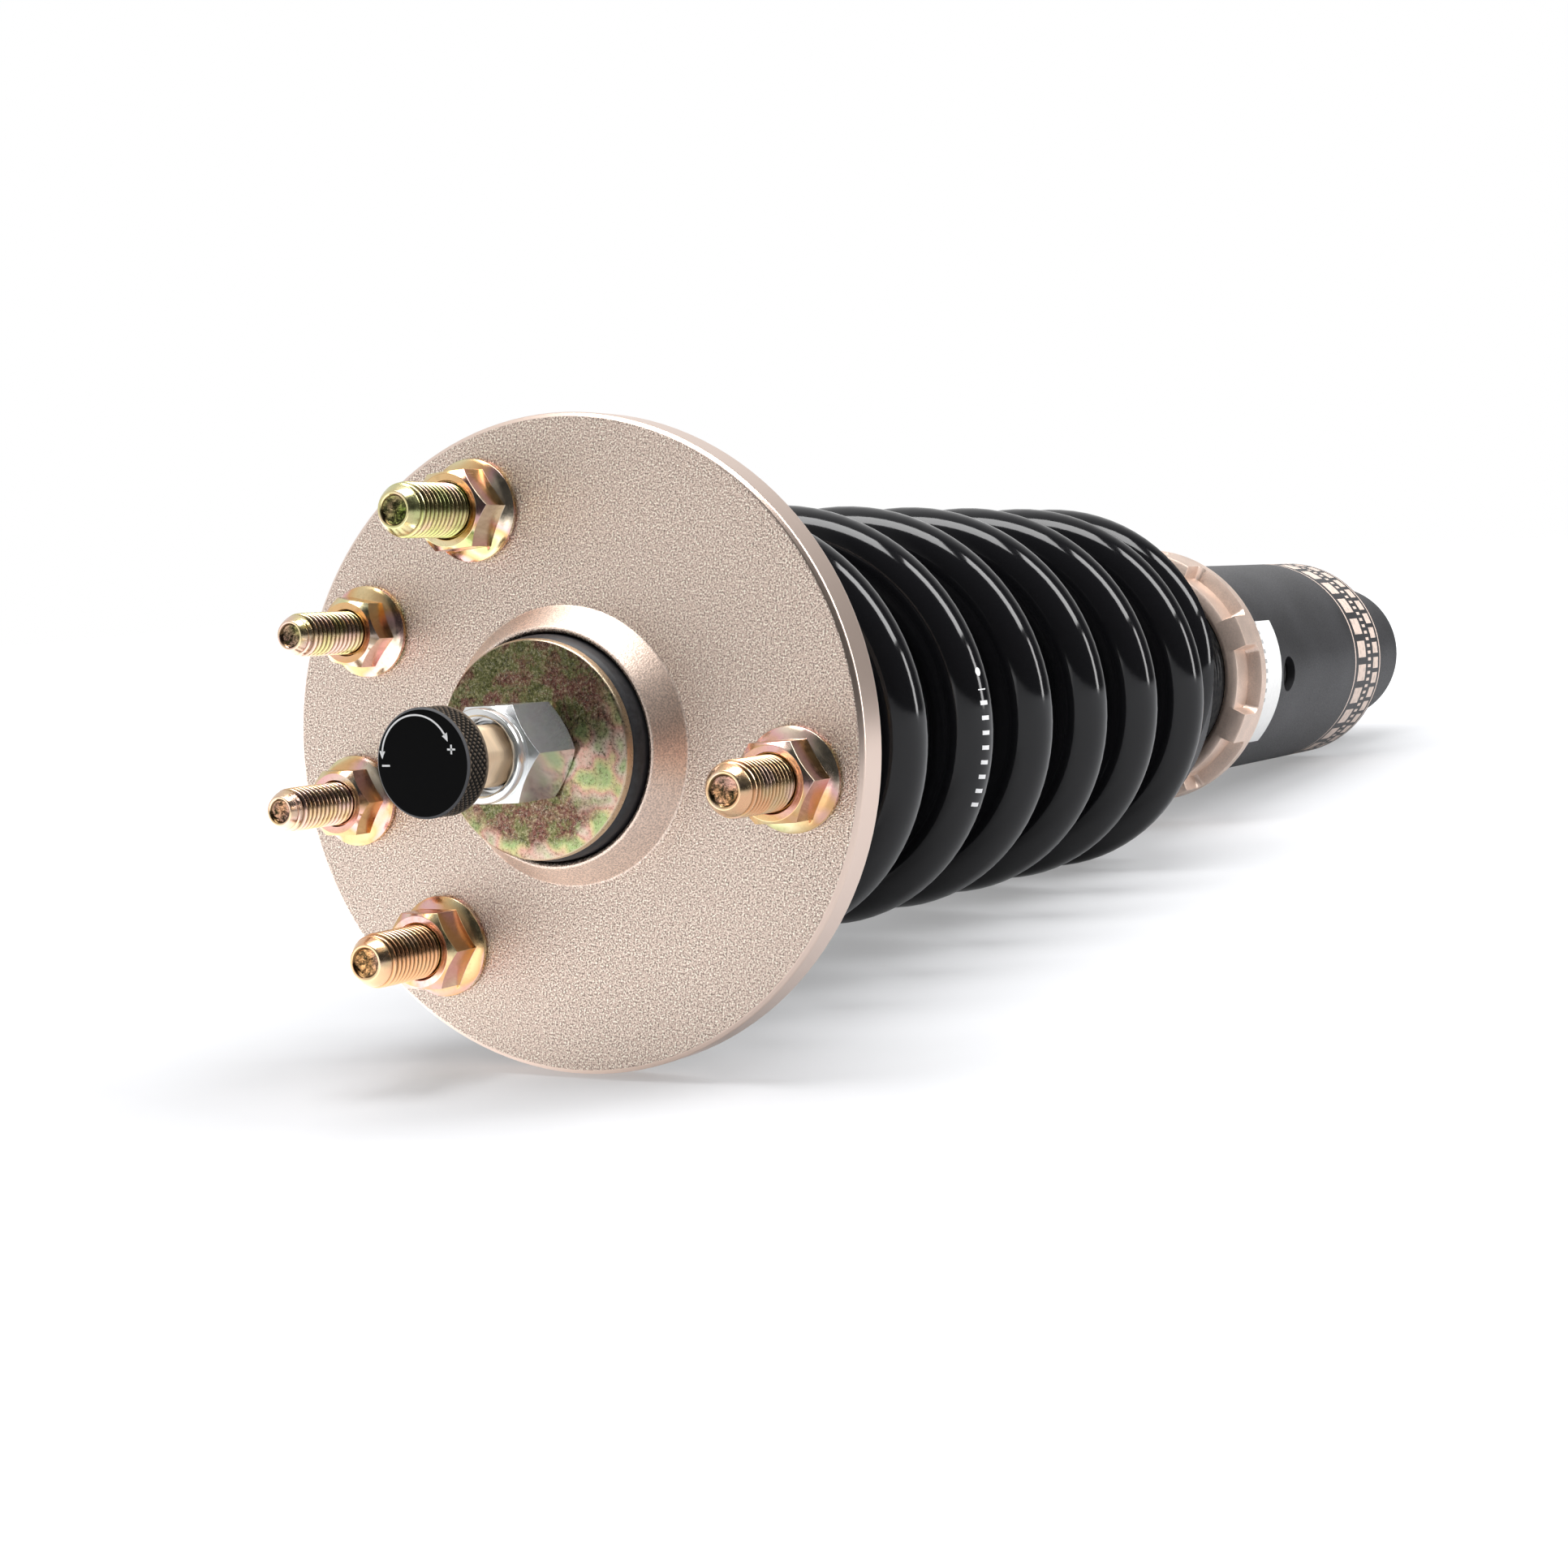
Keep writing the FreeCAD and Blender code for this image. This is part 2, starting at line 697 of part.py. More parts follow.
def radial_pin(label, radius, length, height, start="0"):
    """A cylinder that points out from the axis at the grub screw's angle."""
    pin = doc.addObject("Part::Cylinder", label)
    angle = size("grub_angle")
    facing = FreeCAD.Rotation(FreeCAD.Vector(0, 0, 1), angle)
    pin.Placement = FreeCAD.Placement(
        FreeCAD.Vector(0, 0, 0), facing * FreeCAD.Rotation(FreeCAD.Vector(0, 1, 0), 90)
    )
    bind(pin, {
        "Radius": radius,
        "Height": length,
        "Placement.Base.x": f"({start}) * cos(grub_angle)",
        "Placement.Base.y": f"({start}) * sin(grub_angle)",
        "Placement.Base.z": height,
    })
    return pin


# Springs are swept in code, because the sheet's features have no helix of changing pitch

POINTS_PER_TURN = 16


def coil(inner_radius, wire_radius, length, active_turns, tip_angle):
    """A right-handed compression spring with closed and ground ends, standing on z = 0."""
    wire = 2 * wire_radius
    closed_turns = 1
    end_rise = wire * 1.02
    tip_height = wire / 4 - wire_radius
    active_rise = length - 2 * (tip_height + end_rise)
    turns = active_turns + 2 * closed_turns
    steps = int(math.ceil(turns * POINTS_PER_TURN))
    path_radius = inner_radius + wire_radius
    points = []
    for step in range(steps + 1):
        turn = turns * step / steps
        if turn < closed_turns:
            height = tip_height + end_rise * turn
        elif turn > closed_turns + active_turns:
            height = length - tip_height - end_rise * (turns - turn)
        else:
            height = tip_height + end_rise + active_rise * (turn - closed_turns) / active_turns
        angle = math.radians(tip_angle) + 2 * math.pi * turn
        points.append(FreeCAD.Vector(path_radius * math.cos(angle), path_radius * math.sin(angle), height))
    curve = Part.BSplineCurve()
    curve.approximate(Points=points, DegMax=5, Tolerance=wire_radius * 0.01)
    path = Part.Wire([curve.toShape()])
    start = curve.value(curve.FirstParameter)
    heading = curve.tangent(curve.FirstParameter)[0]
    section = Part.Wire([Part.makeCircle(wire_radius, start, heading)])
    sweep = Part.BRepOffsetAPI.MakePipeShell(path)
    sweep.setBiNormalMode(FreeCAD.Vector(0, 0, 1))
    sweep.add(section, False, False)
    sweep.build()
    sweep.makeSolid()
    swept = sweep.shape()
    reach = 2 * (inner_radius + wire)
    ground = Part.makeBox(2 * reach, 2 * reach, length, FreeCAD.Vector(-reach, -reach, 0))
    return swept.common(ground).Solids[0]


def coil_spring():
    spring = doc.addObject("Part::Feature", "coil_spring")
    spring.Shape = coil(
        size("spring_inner_radius"),
        size("wire_radius"),
        size("spring_length"),
        size("active_turns"),
        size("spring_tip_angle"),
    )
    level(spring, "spring_bottom")
    finish(spring)


# Upper spring seat and its thrust bearing

def race(label, height, groove_side):
    """A flat race with a shallow ball groove in the face that looks at the balls."""
    inner = "bearing_radius - race_half_width"
    outer = "bearing_radius + race_half_width"
    blank = turned(label + "_blank", [
        (inner, "0"),
        (outer, "0"),
        (outer, "race_thickness"),
        (inner, "race_thickness"),
    ], height)
    groove = doc.addObject("Part::Torus", label + "_groove")
    bind(groove, {
        "Radius1": "bearing_radius",
        "Radius2": "groove_radius",
        "Placement.Base.z": f"{height} + {groove_side}",
    })
    return finish(cut(label, blank, groove))


def thrust_bearing():
    race("bearing_upper_race", "pocket_top - race_thickness", "0 - groove_centre")
    race("bearing_lower_race", "seat_top", "race_thickness + groove_centre")
    ball = doc.addObject("Part::Sphere", "bearing_ball")
    bind(ball, {"Radius": "ball_radius"})
    ball_total = int(size("ball_count"))
    finish(copies("bearing_balls", ball, around("bearing_radius", ball_total, "ball_level")))
    ring = turned("cage_ring", [
        ("bearing_radius - cage_half_width", "-cage_thickness / 2"),
        ("bearing_radius + cage_half_width", "-cage_thickness / 2"),
        ("bearing_radius + cage_half_width", "cage_thickness / 2"),
        ("bearing_radius - cage_half_width", "cage_thickness / 2"),
    ], "ball_level")
    pocket = cylinder("cage_pocket", "ball_radius + ball_play", "cage_thickness + 2", "-cage_thickness / 2 - 1")
    pockets = copies("cage_pockets", pocket, around("bearing_radius", ball_total, "ball_level"))
    finish(cut("bearing_cage", ring, pockets))


def upper_spring_seat():
    finish(turned("upper_spring_seat", [
        ("seat_bore_radius", "0"),
        ("seat_radius - 0.6", "0"),
        ("seat_radius", "-0.6"),
        ("seat_radius", "0.6 - seat_flange"),
        ("seat_radius - 0.6", "-seat_flange"),
        ("pilot_radius", "-seat_flange"),
        ("pilot_radius", "1 - seat_flange - pilot_height"),
        ("pilot_radius - 1", "-seat_flange - pilot_height"),
        ("neck_radius - 0.8", "-seat_flange - pilot_height"),
        ("neck_radius - 0.8", "2 - seat_flange - pilot_height - neck_height"),
        ("neck_radius", "1 - seat_flange - pilot_height - neck_height"),
        ("neck_radius", "-seat_flange - pilot_height - neck_height"),
        ("seat_bore_radius", "-seat_flange - pilot_height - neck_height"),
    ], "seat_top"))


def dust_boot():
    """A rubber boot with folds, hung on the seat's neck, with a plain skirt that the tube slides up into."""
    bore = "tube_radius + boot_play"
    folds = int(size("boot_folds"))
    cuff = "-neck_height - boot_wall"
    step = "(boot_length - neck_height - boot_wall - boot_skirt) / boot_folds"
    outside = []
    inside = []
    for fold in range(folds):
        valley = f"{cuff} - ({step}) * {fold}"
        crest = f"{cuff} - ({step}) * ({fold} + 0.5)"
        outside.append((f"{bore} + boot_wall", valley))
        outside.append((f"{bore} + boot_wall + boot_fold", crest))
        inside.append((f"{bore}", valley))
        inside.append((f"{bore} + boot_fold", crest))
    foot = "boot_skirt - boot_length"
    outside.append((f"{bore} + boot_wall", foot))
    outside.append((f"{bore} + boot_wall", "-boot_length"))
    inside.append((bore, foot))
    inside.append((bore, "-boot_length"))
    neck = [
        (bore, "-neck_height"),
        ("neck_radius", "-neck_height"),
        ("neck_radius", "1 - neck_height"),
        ("neck_radius - 0.8", "2 - neck_height"),
        ("neck_radius - 0.8", "0"),
        ("pilot_radius - 0.4", "0"),
        ("pilot_radius - 0.4", cuff),
    ]
    finish(turned("dust_boot", neck + outside + inside[::-1], "pilot_foot"))


# Piston rod and what it carries

def piston_rod():
    blank = turned("piston_rod_blank", [
        ("rod_bore_radius", "rod_top"),
        ("rod_thread_radius - 0.8", "rod_top"),
        ("rod_thread_radius", "rod_top - 0.8"),
        ("rod_thread_radius", "rod_shoulder"),
        ("rod_radius - 0.5", "rod_shoulder"),
        ("rod_radius", "rod_shoulder - 0.5"),
        ("rod_radius", "rod_end_shoulder"),
        ("rod_end_radius", "rod_end_shoulder"),
        ("rod_end_radius", "rod_foot + 0.5"),
        ("rod_end_radius - 0.5", "rod_foot"),
        ("orifice_radius", "rod_foot"),
        ("orifice_radius", "piston_top"),
        ("rod_bore_radius", "piston_top"),
    ])
    port = doc.addObject("Part::Cylinder", "bleed_port")
    port.Placement = FreeCAD.Placement(
        FreeCAD.Vector(0, 0, 0), FreeCAD.Rotation(FreeCAD.Vector(0, 1, 0), 90)
    )
    bind(port, {
        "Radius": "orifice_radius",
        "Height": "2 * rod_radius + 2",
        "Placement.Base.x": "-rod_radius - 1",
        "Placement.Base.z": "guide_foot - rebound_gap / 2",
    })
    finish(cut("piston_rod", blank, port))
    finish(turned("metering_needle", [
        ("0", "piston_top + needle_stand_off"),
        ("needle_tip_radius", "piston_top + needle_stand_off"),
        ("needle_radius", "piston_top + needle_stand_off + needle_taper"),
        ("needle_radius", "knob_base + knob_length - 1.2 - spindle_length - 0.3"),
        ("0", "knob_base + knob_length - 1.2 - spindle_length - 0.3"),
    ]))


def bump_stop():
    """A foam stop with two waists, gripping the rod under the lower washer."""
    finish(turned("bump_stop", [
        ("rod_radius", "0"),
        ("bump_stop_radius", "0"),
        ("bump_stop_radius", "-bump_stop_length * 0.24"),
        ("bump_stop_waist", "-bump_stop_length * 0.33"),
        ("bump_stop_radius - 1", "-bump_stop_length * 0.42"),
        ("bump_stop_radius - 1", "-bump_stop_length * 0.58"),
        ("bump_stop_waist", "-bump_stop_length * 0.67"),
        ("bump_stop_radius - 2", "-bump_stop_length * 0.76"),
        ("bump_stop_radius - 2", "-bump_stop_length * 0.88"),
        ("bump_stop_waist - 1", "-bump_stop_length"),
        ("rod_radius", "-bump_stop_length"),
    ], "rod_shoulder"))


def shims(label, top, count_word):
    """A stack of flat shims, each smaller than the one before as it leaves the piston."""
    discs = []
    count = int(size(count_word))
    for number in range(count):
        radius = f"shim_radius - shim_step * {number}"
        start = top(number)
        discs.append(turned(f"{label}_{number + 1}", [
            ("rod_end_radius + slide_fit", "0"),
            (radius, "0"),
            (radius, "shim_thickness"),
            ("rod_end_radius + slide_fit", "shim_thickness"),
        ], start))
    stack = doc.addObject("Part::Compound", label)
    stack.Links = discs
    finish(stack)


def piston():
    blank = turned("piston_blank", [
        ("rod_end_radius + slide_fit", "0"),
        ("sliding_tube_radius - 0.8", "0"),
        ("sliding_tube_radius - 0.3", "0.5"),
        ("sliding_tube_radius - 0.3", "piston_height / 2 - piston_band_height / 2"),
        ("sliding_tube_radius - piston_band_depth", "piston_height / 2 - piston_band_height / 2"),
        ("sliding_tube_radius - piston_band_depth", "piston_height / 2 + piston_band_height / 2"),
        ("sliding_tube_radius - 0.3", "piston_height / 2 + piston_band_height / 2"),
        ("sliding_tube_radius - 0.3", "piston_height - 0.5"),
        ("sliding_tube_radius - 0.8", "piston_height"),
        ("rod_end_radius + slide_fit", "piston_height"),
    ], "piston_foot")
    port = cylinder("piston_port", "port_radius", "piston_height + 2", "-1")
    ports = copies("piston_ports", port, around("port_circle", int(size("port_count")), "piston_foot"))
    finish(cut("piston", blank, ports))
    finish(turned("piston_band", [
        ("sliding_tube_radius - piston_band_depth", "-piston_band_height / 2"),
        ("sliding_tube_radius", "-piston_band_height / 2"),
        ("sliding_tube_radius", "piston_band_height / 2"),
        ("sliding_tube_radius - piston_band_depth", "piston_band_height / 2"),
    ], "piston_foot + piston_height / 2"))
    shims("compression_shims", lambda number: f"piston_top + shim_thickness * {number}", "compression_shim_count")
    shims("rebound_shims", lambda number: f"piston_foot - shim_thickness * {number + 1}", "rebound_shim_count")
    prism = hexagon("piston_nut_hexagon", "piston_nut_flats", "piston_nut_height",
                    "piston_nut_top - piston_nut_height")
    bore = cylinder("piston_nut_bore", "rod_end_radius + slide_fit", "piston_nut_height + 2",
                    "piston_nut_top - piston_nut_height - 1")
    finish(cut("piston_nut", prism, bore))
    finish(turned("rebound_stop", [
        ("rod_radius", "-rebound_stop_height"),
        ("rebound_stop_radius", "-rebound_stop_height"),
        ("rebound_stop_radius", "-0.6"),
        ("rebound_stop_radius - 0.6", "0"),
        ("rod_radius", "0"),
    ], "rebound_stop_top"))


# Damper tube, rod guide and gas chamber

def thread_grooves(top):
    """The cutter for the tube's thread: a row of equal V grooves, one to each turn."""
    half = "(tube_pitch - tube_thread_crest) / 2"
    groove = turned("thread_groove", [
        ("tube_radius - tube_thread_depth", "0"),
        ("tube_radius", f"-{half}"),
        ("tube_radius + 1", f"-{half}"),
        ("tube_radius + 1", half),
        ("tube_radius", half),
    ])
    spots = [
        ("0", "0", f"{top} - {i} * tube_pitch", 0)
        for i in range(int(size("tube_thread_count")))
    ]
    return copies("thread_grooves", groove, spots)


def damper_tube():
    blank = turned("damper_tube_blank", [
        ("tube_bore_radius", "0"),
        ("tube_bore_radius", "-guide_drop / 2 + snap_ring_thickness / 2"),
        ("tube_bore_radius + snap_ring_width / 2", "-guide_drop / 2 + snap_ring_thickness / 2"),
        ("tube_bore_radius + snap_ring_width / 2", "-guide_drop / 2 - snap_ring_thickness / 2"),
        ("tube_bore_radius", "-guide_drop / 2 - snap_ring_thickness / 2"),
        ("tube_bore_radius", "-tube_length"),
        ("tube_radius - tube_chamfer", "-tube_length"),
        ("tube_radius", "tube_chamfer - tube_length"),
        ("tube_radius", "-tube_chamfer"),
        ("tube_radius - tube_chamfer", "0"),
    ], "tube_top")
    finish(cut("damper_tube", blank, thread_grooves("tube_top - tube_thread_drop")))
    finish(turned("base_cap", [
        ("gas_screw_radius", "0"),
        ("sliding_tube_radius", "0"),
        ("sliding_tube_radius", "base_cap_height"),
        ("0", "base_cap_height"),
        ("0", "gas_screw_length"),
        ("gas_screw_radius", "gas_screw_length"),
    ], "tube_foot"))
    screw = cylinder("gas_screw_blank", "gas_screw_radius", "gas_screw_length", "tube_foot")
    socket = hexagon("gas_screw_socket", "gas_screw_radius", "gas_screw_length / 2 + 1", "tube_foot - 1")
    finish(cut("gas_screw", screw, socket))


def rod_guide():
    """The guide's bore steps: wiper pocket, land, seal pocket, land, and the bushing at the bottom."""
    land_bore = "sliding_rod_bore + land_play"
    wiper_foot = "-wiper_depth"
    seal_top = "-wiper_depth - land_thickness"
    seal_foot = "-wiper_depth - land_thickness - seal_height"
    bushing_top = "-wiper_depth - 2 * land_thickness - seal_height"
    finish(turned("rod_guide", [
        ("wiper_radius", "0"),
        ("wiper_radius", wiper_foot),
        (land_bore, wiper_foot),
        (land_bore, seal_top),
        ("seal_radius", seal_top),
        ("seal_radius", seal_foot),
        (land_bore, seal_foot),
        (land_bore, bushing_top),
        ("bushing_radius", bushing_top),
        ("bushing_radius", "-guide_length"),
        ("sliding_tube_radius", "-guide_length"),
        ("sliding_tube_radius", "0"),
    ], "guide_top"))
    finish(turned("rod_wiper", [
        ("sliding_rod_bore", "0"),
        ("wiper_radius", "0"),
        ("wiper_radius", "wiper_depth"),
        ("sliding_rod_bore + 2", "wiper_depth"),
        ("sliding_rod_bore", "wiper_depth + 1.2"),
    ], "guide_top - wiper_depth"))
    finish(turned("rod_seal", [
        ("sliding_rod_bore", "0"),
        ("seal_radius", "0"),
        ("seal_radius", "seal_height"),
        ("sliding_rod_bore + 1.2", "seal_height"),
        ("sliding_rod_bore", "seal_height - 1.2"),
    ], "guide_top - wiper_depth - land_thickness - seal_height"))
    finish(turned("rod_bushing", [
        ("sliding_rod_bore", "0"),
        ("bushing_radius", "0"),
        ("bushing_radius", "bushing_top - guide_foot"),
        ("sliding_rod_bore", "bushing_top - guide_foot"),
    ], "guide_foot"))
    ring = turned("snap_ring_blank", [
        ("tube_bore_radius - snap_ring_width / 2", "-snap_ring_thickness / 2"),
        ("tube_bore_radius + snap_ring_width / 2 - slide_fit", "-snap_ring_thickness / 2"),
        ("tube_bore_radius + snap_ring_width / 2 - slide_fit", "snap_ring_thickness / 2"),
        ("tube_bore_radius - snap_ring_width / 2", "snap_ring_thickness / 2"),
    ], "tube_top - guide_drop / 2")
    opening = doc.addObject("Part::Cylinder", "snap_ring_opening")
    bind(opening, {
        "Radius": "tube_radius",
        "Height": "snap_ring_thickness + 2",
        "Angle": "snap_ring_gap",
        "Placement.Base.z": "tube_top - guide_drop / 2 - snap_ring_thickness / 2 - 1",
    })
    finish(cut("guide_snap_ring", ring, opening))


def floating_piston():
    middle = "-floating_piston_height / 2"
    finish(turned("floating_piston", [
        ("0", "-3"),
        ("tube_bore_radius / 2", "-3"),
        ("tube_bore_radius / 2 + 2", "0"),
        ("sliding_tube_radius - 0.5", "0"),
        ("sliding_tube_radius", "-0.5"),
        ("sliding_tube_radius", f"{middle} + piston_ring_height / 2"),
        ("sliding_tube_radius - piston_ring_depth", f"{middle} + piston_ring_height / 2"),
        ("sliding_tube_radius - piston_ring_depth", f"{middle} - piston_ring_height / 2"),
        ("sliding_tube_radius", f"{middle} - piston_ring_height / 2"),
        ("sliding_tube_radius", "0.5 - floating_piston_height"),
        ("sliding_tube_radius - 0.5", "-floating_piston_height"),
        ("0", "-floating_piston_height"),
    ], "floating_piston_top"))
    finish(turned("floating_piston_ring", [
        ("sliding_tube_radius - piston_ring_depth", f"{middle} - piston_ring_height / 2"),
        ("sliding_tube_radius", f"{middle} - piston_ring_height / 2"),
        ("sliding_tube_radius", f"{middle} + piston_ring_height / 2"),
        ("sliding_tube_radius - piston_ring_depth", f"{middle} + piston_ring_height / 2"),
    ], "floating_piston_top"))


# Lower spring seat with its lock ring

def lower_spring_seat():
    finish(turned("lower_spring_seat", [
        ("threaded_bore", "-perch_flange"),
        ("perch_radius - 1.5", "-perch_flange"),
        ("perch_radius", "1.5 - perch_flange"),
        ("perch_radius", "-0.6"),
        ("perch_radius - 0.6", "0"),
        ("pilot_radius", "0"),
        ("pilot_radius", "perch_hub_height - 1.5"),
        ("pilot_radius - 1.5", "perch_hub_height"),
        ("threaded_bore", "perch_hub_height"),
    ], "spring_bottom"))
    blank = turned("perch_ring_blank", [
        ("threaded_bore", "0"),
        ("perch_ring_radius - 0.6", "0"),
        ("perch_ring_radius", "0.6"),
        ("perch_ring_radius", "perch_ring_height - 0.6"),
        ("perch_ring_radius - 0.6", "perch_ring_height"),
        ("threaded_bore", "perch_ring_height"),
    ], "perch_ring_foot")
    slots = spanner_slots("perch_ring_slots", "perch_ring_radius - 2.2", "0", "perch_ring_height",
                          "perch_ring_foot")
    finish(cut("perch_lock_ring", blank, slots))


def spanner_slots(label, floor_radius, foot, height, base):
    """The cutter for a ring of spanner slots between a floor radius and the outside."""
    half = size("slot_angle") / 2
    wedge = doc.addObject("Part::Cylinder", label + "_wedge")
    bind(wedge, {"Radius": "2 * tube_radius", "Height": f"{height} + 2", "Angle": "slot_angle"})
    core = cylinder(label + "_core", floor_radius, f"{height} + 4", "-1")
    cutter = cut(label + "_cutter", wedge, core)
    count = int(size("slot_count"))
    phase = size("slot_phase")
    spots = [
        ("0", "0", f"{base} + {foot}", phase - half + 360 / count * i)
        for i in range(count)
    ]
    return copies(label, cutter, spots)


# Lower bracket: castellated lock ring, bracket tube, label and spigot

def bracket_lock_ring():
    blank = turned("lock_ring_blank", [
        ("threaded_bore", "0"),
        ("lock_ring_radius - 0.4", "0"),
        ("lock_ring_radius", "0.4"),
        ("lock_ring_radius", "lock_ring_height - 0.6"),
        ("lock_ring_radius - 0.6", "lock_ring_height"),
        ("threaded_bore + lock_ring_chamfer", "lock_ring_height"),
        ("threaded_bore", "lock_ring_height - lock_ring_chamfer"),
    ], "bracket_top")
    slots = spanner_slots("lock_ring_slots", "slot_floor_radius", "lock_ring_lip", "lock_ring_height",
                          "bracket_top")
    finish(cut("bracket_lock_ring", blank, slots))


def bracket_tube():
    blank = turned("bracket_blank", [
        ("threaded_bore", "0"),
        ("threaded_bore", "bracket_floor - bracket_length"),
        ("spigot_tenon_radius", "bracket_floor - bracket_length"),
        ("spigot_tenon_radius", "-bracket_length"),
        ("bracket_radius - bracket_chamfer", "-bracket_length"),
        ("bracket_radius", "bracket_chamfer - bracket_length"),
        ("bracket_radius", "0"),
    ], "bracket_top")
    hole = doc.addObject("Part::Cylinder", "sight_hole")
    facing = FreeCAD.Rotation(FreeCAD.Vector(0, 0, 1), size("sight_hole_angle"))
    hole.Placement = FreeCAD.Placement(
        FreeCAD.Vector(0, 0, 0), facing * FreeCAD.Rotation(FreeCAD.Vector(0, 1, 0), 90)
    )
    bind(hole, {
        "Radius": "sight_hole_radius",
        "Height": "bracket_radius + 2",
        "Placement.Base.z": "bracket_top - sight_hole_drop",
    })
    finish(cut("bracket_tube", blank, hole))


def fork_spigot():
    finish(turned("fork_spigot", [
        ("0", "bracket_floor"),
        ("0", "-spigot_length"),
        ("spigot_radius - spigot_chamfer", "-spigot_length"),
        ("spigot_radius", "spigot_chamfer - spigot_length"),
        ("spigot_radius", "0"),
        ("spigot_tenon_radius", "0"),
        ("spigot_tenon_radius", "bracket_floor"),
    ], "bracket_foot"))


def setup_label():
    """A curved paper label on the bracket tube, just below the lock ring."""
    outer = doc.addObject("Part::Cylinder", "label_outer")
    inner = doc.addObject("Part::Cylinder", "label_inner")
    base = "bracket_top - label_drop - label_height"
    turn = FreeCAD.Rotation(FreeCAD.Vector(0, 0, 1), size("label_start"))
    outer.Placement = FreeCAD.Placement(FreeCAD.Vector(0, 0, 0), turn)
    bind(outer, {
        "Radius": "bracket_radius + label_glue + label_thickness",
        "Height": "label_height",
        "Angle": "label_angle",
        "Placement.Base.z": base,
    })
    bind(inner, {
        "Radius": "bracket_radius + label_glue",
        "Height": "label_height + 2",
        "Placement.Base.z": f"{base} - 1",
    })
    finish(cut("setup_label", outer, inner))


# Build everything, test it and write one file for each sub-part

top_plate()
studs_and_nuts()
rubber_mount()
rod_nut()
adjuster()
thrust_bearing()
upper_spring_seat()
coil_spring()
dust_boot()
piston_rod()
bump_stop()
piston()
damper_tube()
rod_guide()
floating_piston()
lower_spring_seat()
bracket_lock_ring()
bracket_tube()
fork_spigot()
setup_label()
doc.recompute()

for item in doc.Objects:
    if "Invalid" in item.State or "Error" in item.State:
        raise RuntimeError(f"{item.Label} did not rebuild: {item.State}")

for piece in finished:
    shape = piece.Shape
    if shape.isNull() or not shape.isValid() or not shape.Solids:
        raise RuntimeError(f"{piece.Label} is not a valid solid")
    shape.exportStep(f"parts/{piece.Label}.step")
    print(f"{piece.Label}: {len(shape.Solids)} solid(s), {shape.Volume:.1f} mm3")
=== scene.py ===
import json
import math

import bmesh
import bpy
import numpy as np
from bpy.props import FloatProperty, FloatVectorProperty, IntProperty, PointerProperty
from mathutils import Euler, Matrix, Vector


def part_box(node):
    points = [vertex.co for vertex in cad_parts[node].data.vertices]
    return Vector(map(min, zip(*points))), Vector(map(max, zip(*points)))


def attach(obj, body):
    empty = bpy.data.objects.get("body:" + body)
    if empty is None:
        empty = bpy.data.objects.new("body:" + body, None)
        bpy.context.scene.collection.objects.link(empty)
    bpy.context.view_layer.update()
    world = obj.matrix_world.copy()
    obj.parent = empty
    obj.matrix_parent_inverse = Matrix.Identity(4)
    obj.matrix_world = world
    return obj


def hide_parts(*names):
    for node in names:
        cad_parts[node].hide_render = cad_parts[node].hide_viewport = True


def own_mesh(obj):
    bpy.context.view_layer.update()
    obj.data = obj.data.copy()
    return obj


bl_info = {
    "name": "Coilover strut",
    "version": (1, 0, 0),
    "blender": (4, 5, 0),
    "location": "3D View > Sidebar > Coilover",
    "description": "Dresses the packed coilover strut and sets it on a pale studio floor",
    "category": "Add Mesh",
}

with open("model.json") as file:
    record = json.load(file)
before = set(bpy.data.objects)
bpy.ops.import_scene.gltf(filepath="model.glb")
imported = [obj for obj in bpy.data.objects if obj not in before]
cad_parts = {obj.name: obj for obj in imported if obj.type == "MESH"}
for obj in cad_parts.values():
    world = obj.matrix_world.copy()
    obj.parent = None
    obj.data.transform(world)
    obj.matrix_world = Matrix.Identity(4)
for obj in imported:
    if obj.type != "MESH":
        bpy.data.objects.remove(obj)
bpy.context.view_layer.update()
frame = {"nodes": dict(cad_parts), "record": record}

MM = 0.001
TURN = 2 * math.pi
WELD = 1e-7  # metres: points that lie closer are one
SLIVER = 1e-8  # metres: shorter edges are dropped
FLAT = 0.1  # degrees: faces that turn less are joined
SHARP = 25  # degrees: edges that turn more are sharp, and are rounded
CORNER_SHARE = 0.45  # most of a side that the rounding of one corner takes
THREAD_LAND = 0.14  # share of a thread's flank that is flat at its crest and at its root


def level(node, end):
    """Height of a CAD node's foot (end 0) or top (end 1)."""
    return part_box(node)[end][2]


def heights(node):
    """Heights of a CAD node's foot and top."""
    return level(node, 0), level(node, 1)


def reach(node):
    """Outer radius of a CAD node that is round about the strut's axis."""
    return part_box(node)[1][0]


# Sizes and colours that a user may change

def length(name, description, default):
    """A property for a length in metres."""
    return FloatProperty(name=name, description=description, default=default, min=0,
                         precision=5, unit="LENGTH")


def angle_size(name, description, degrees):
    """A property for an angle, given here in degrees."""
    return FloatProperty(name=name, description=description, default=math.radians(degrees),
                         subtype="ANGLE")


def number(name, description, default):
    """A property for how often something is repeated."""
    return IntProperty(name=name, description=description, default=default, min=1)


def tint(name, description, default):
    """A property for a colour."""
    return FloatVectorProperty(name=name, description=description, default=default, size=3,
                               min=0, max=1, subtype="COLOR")


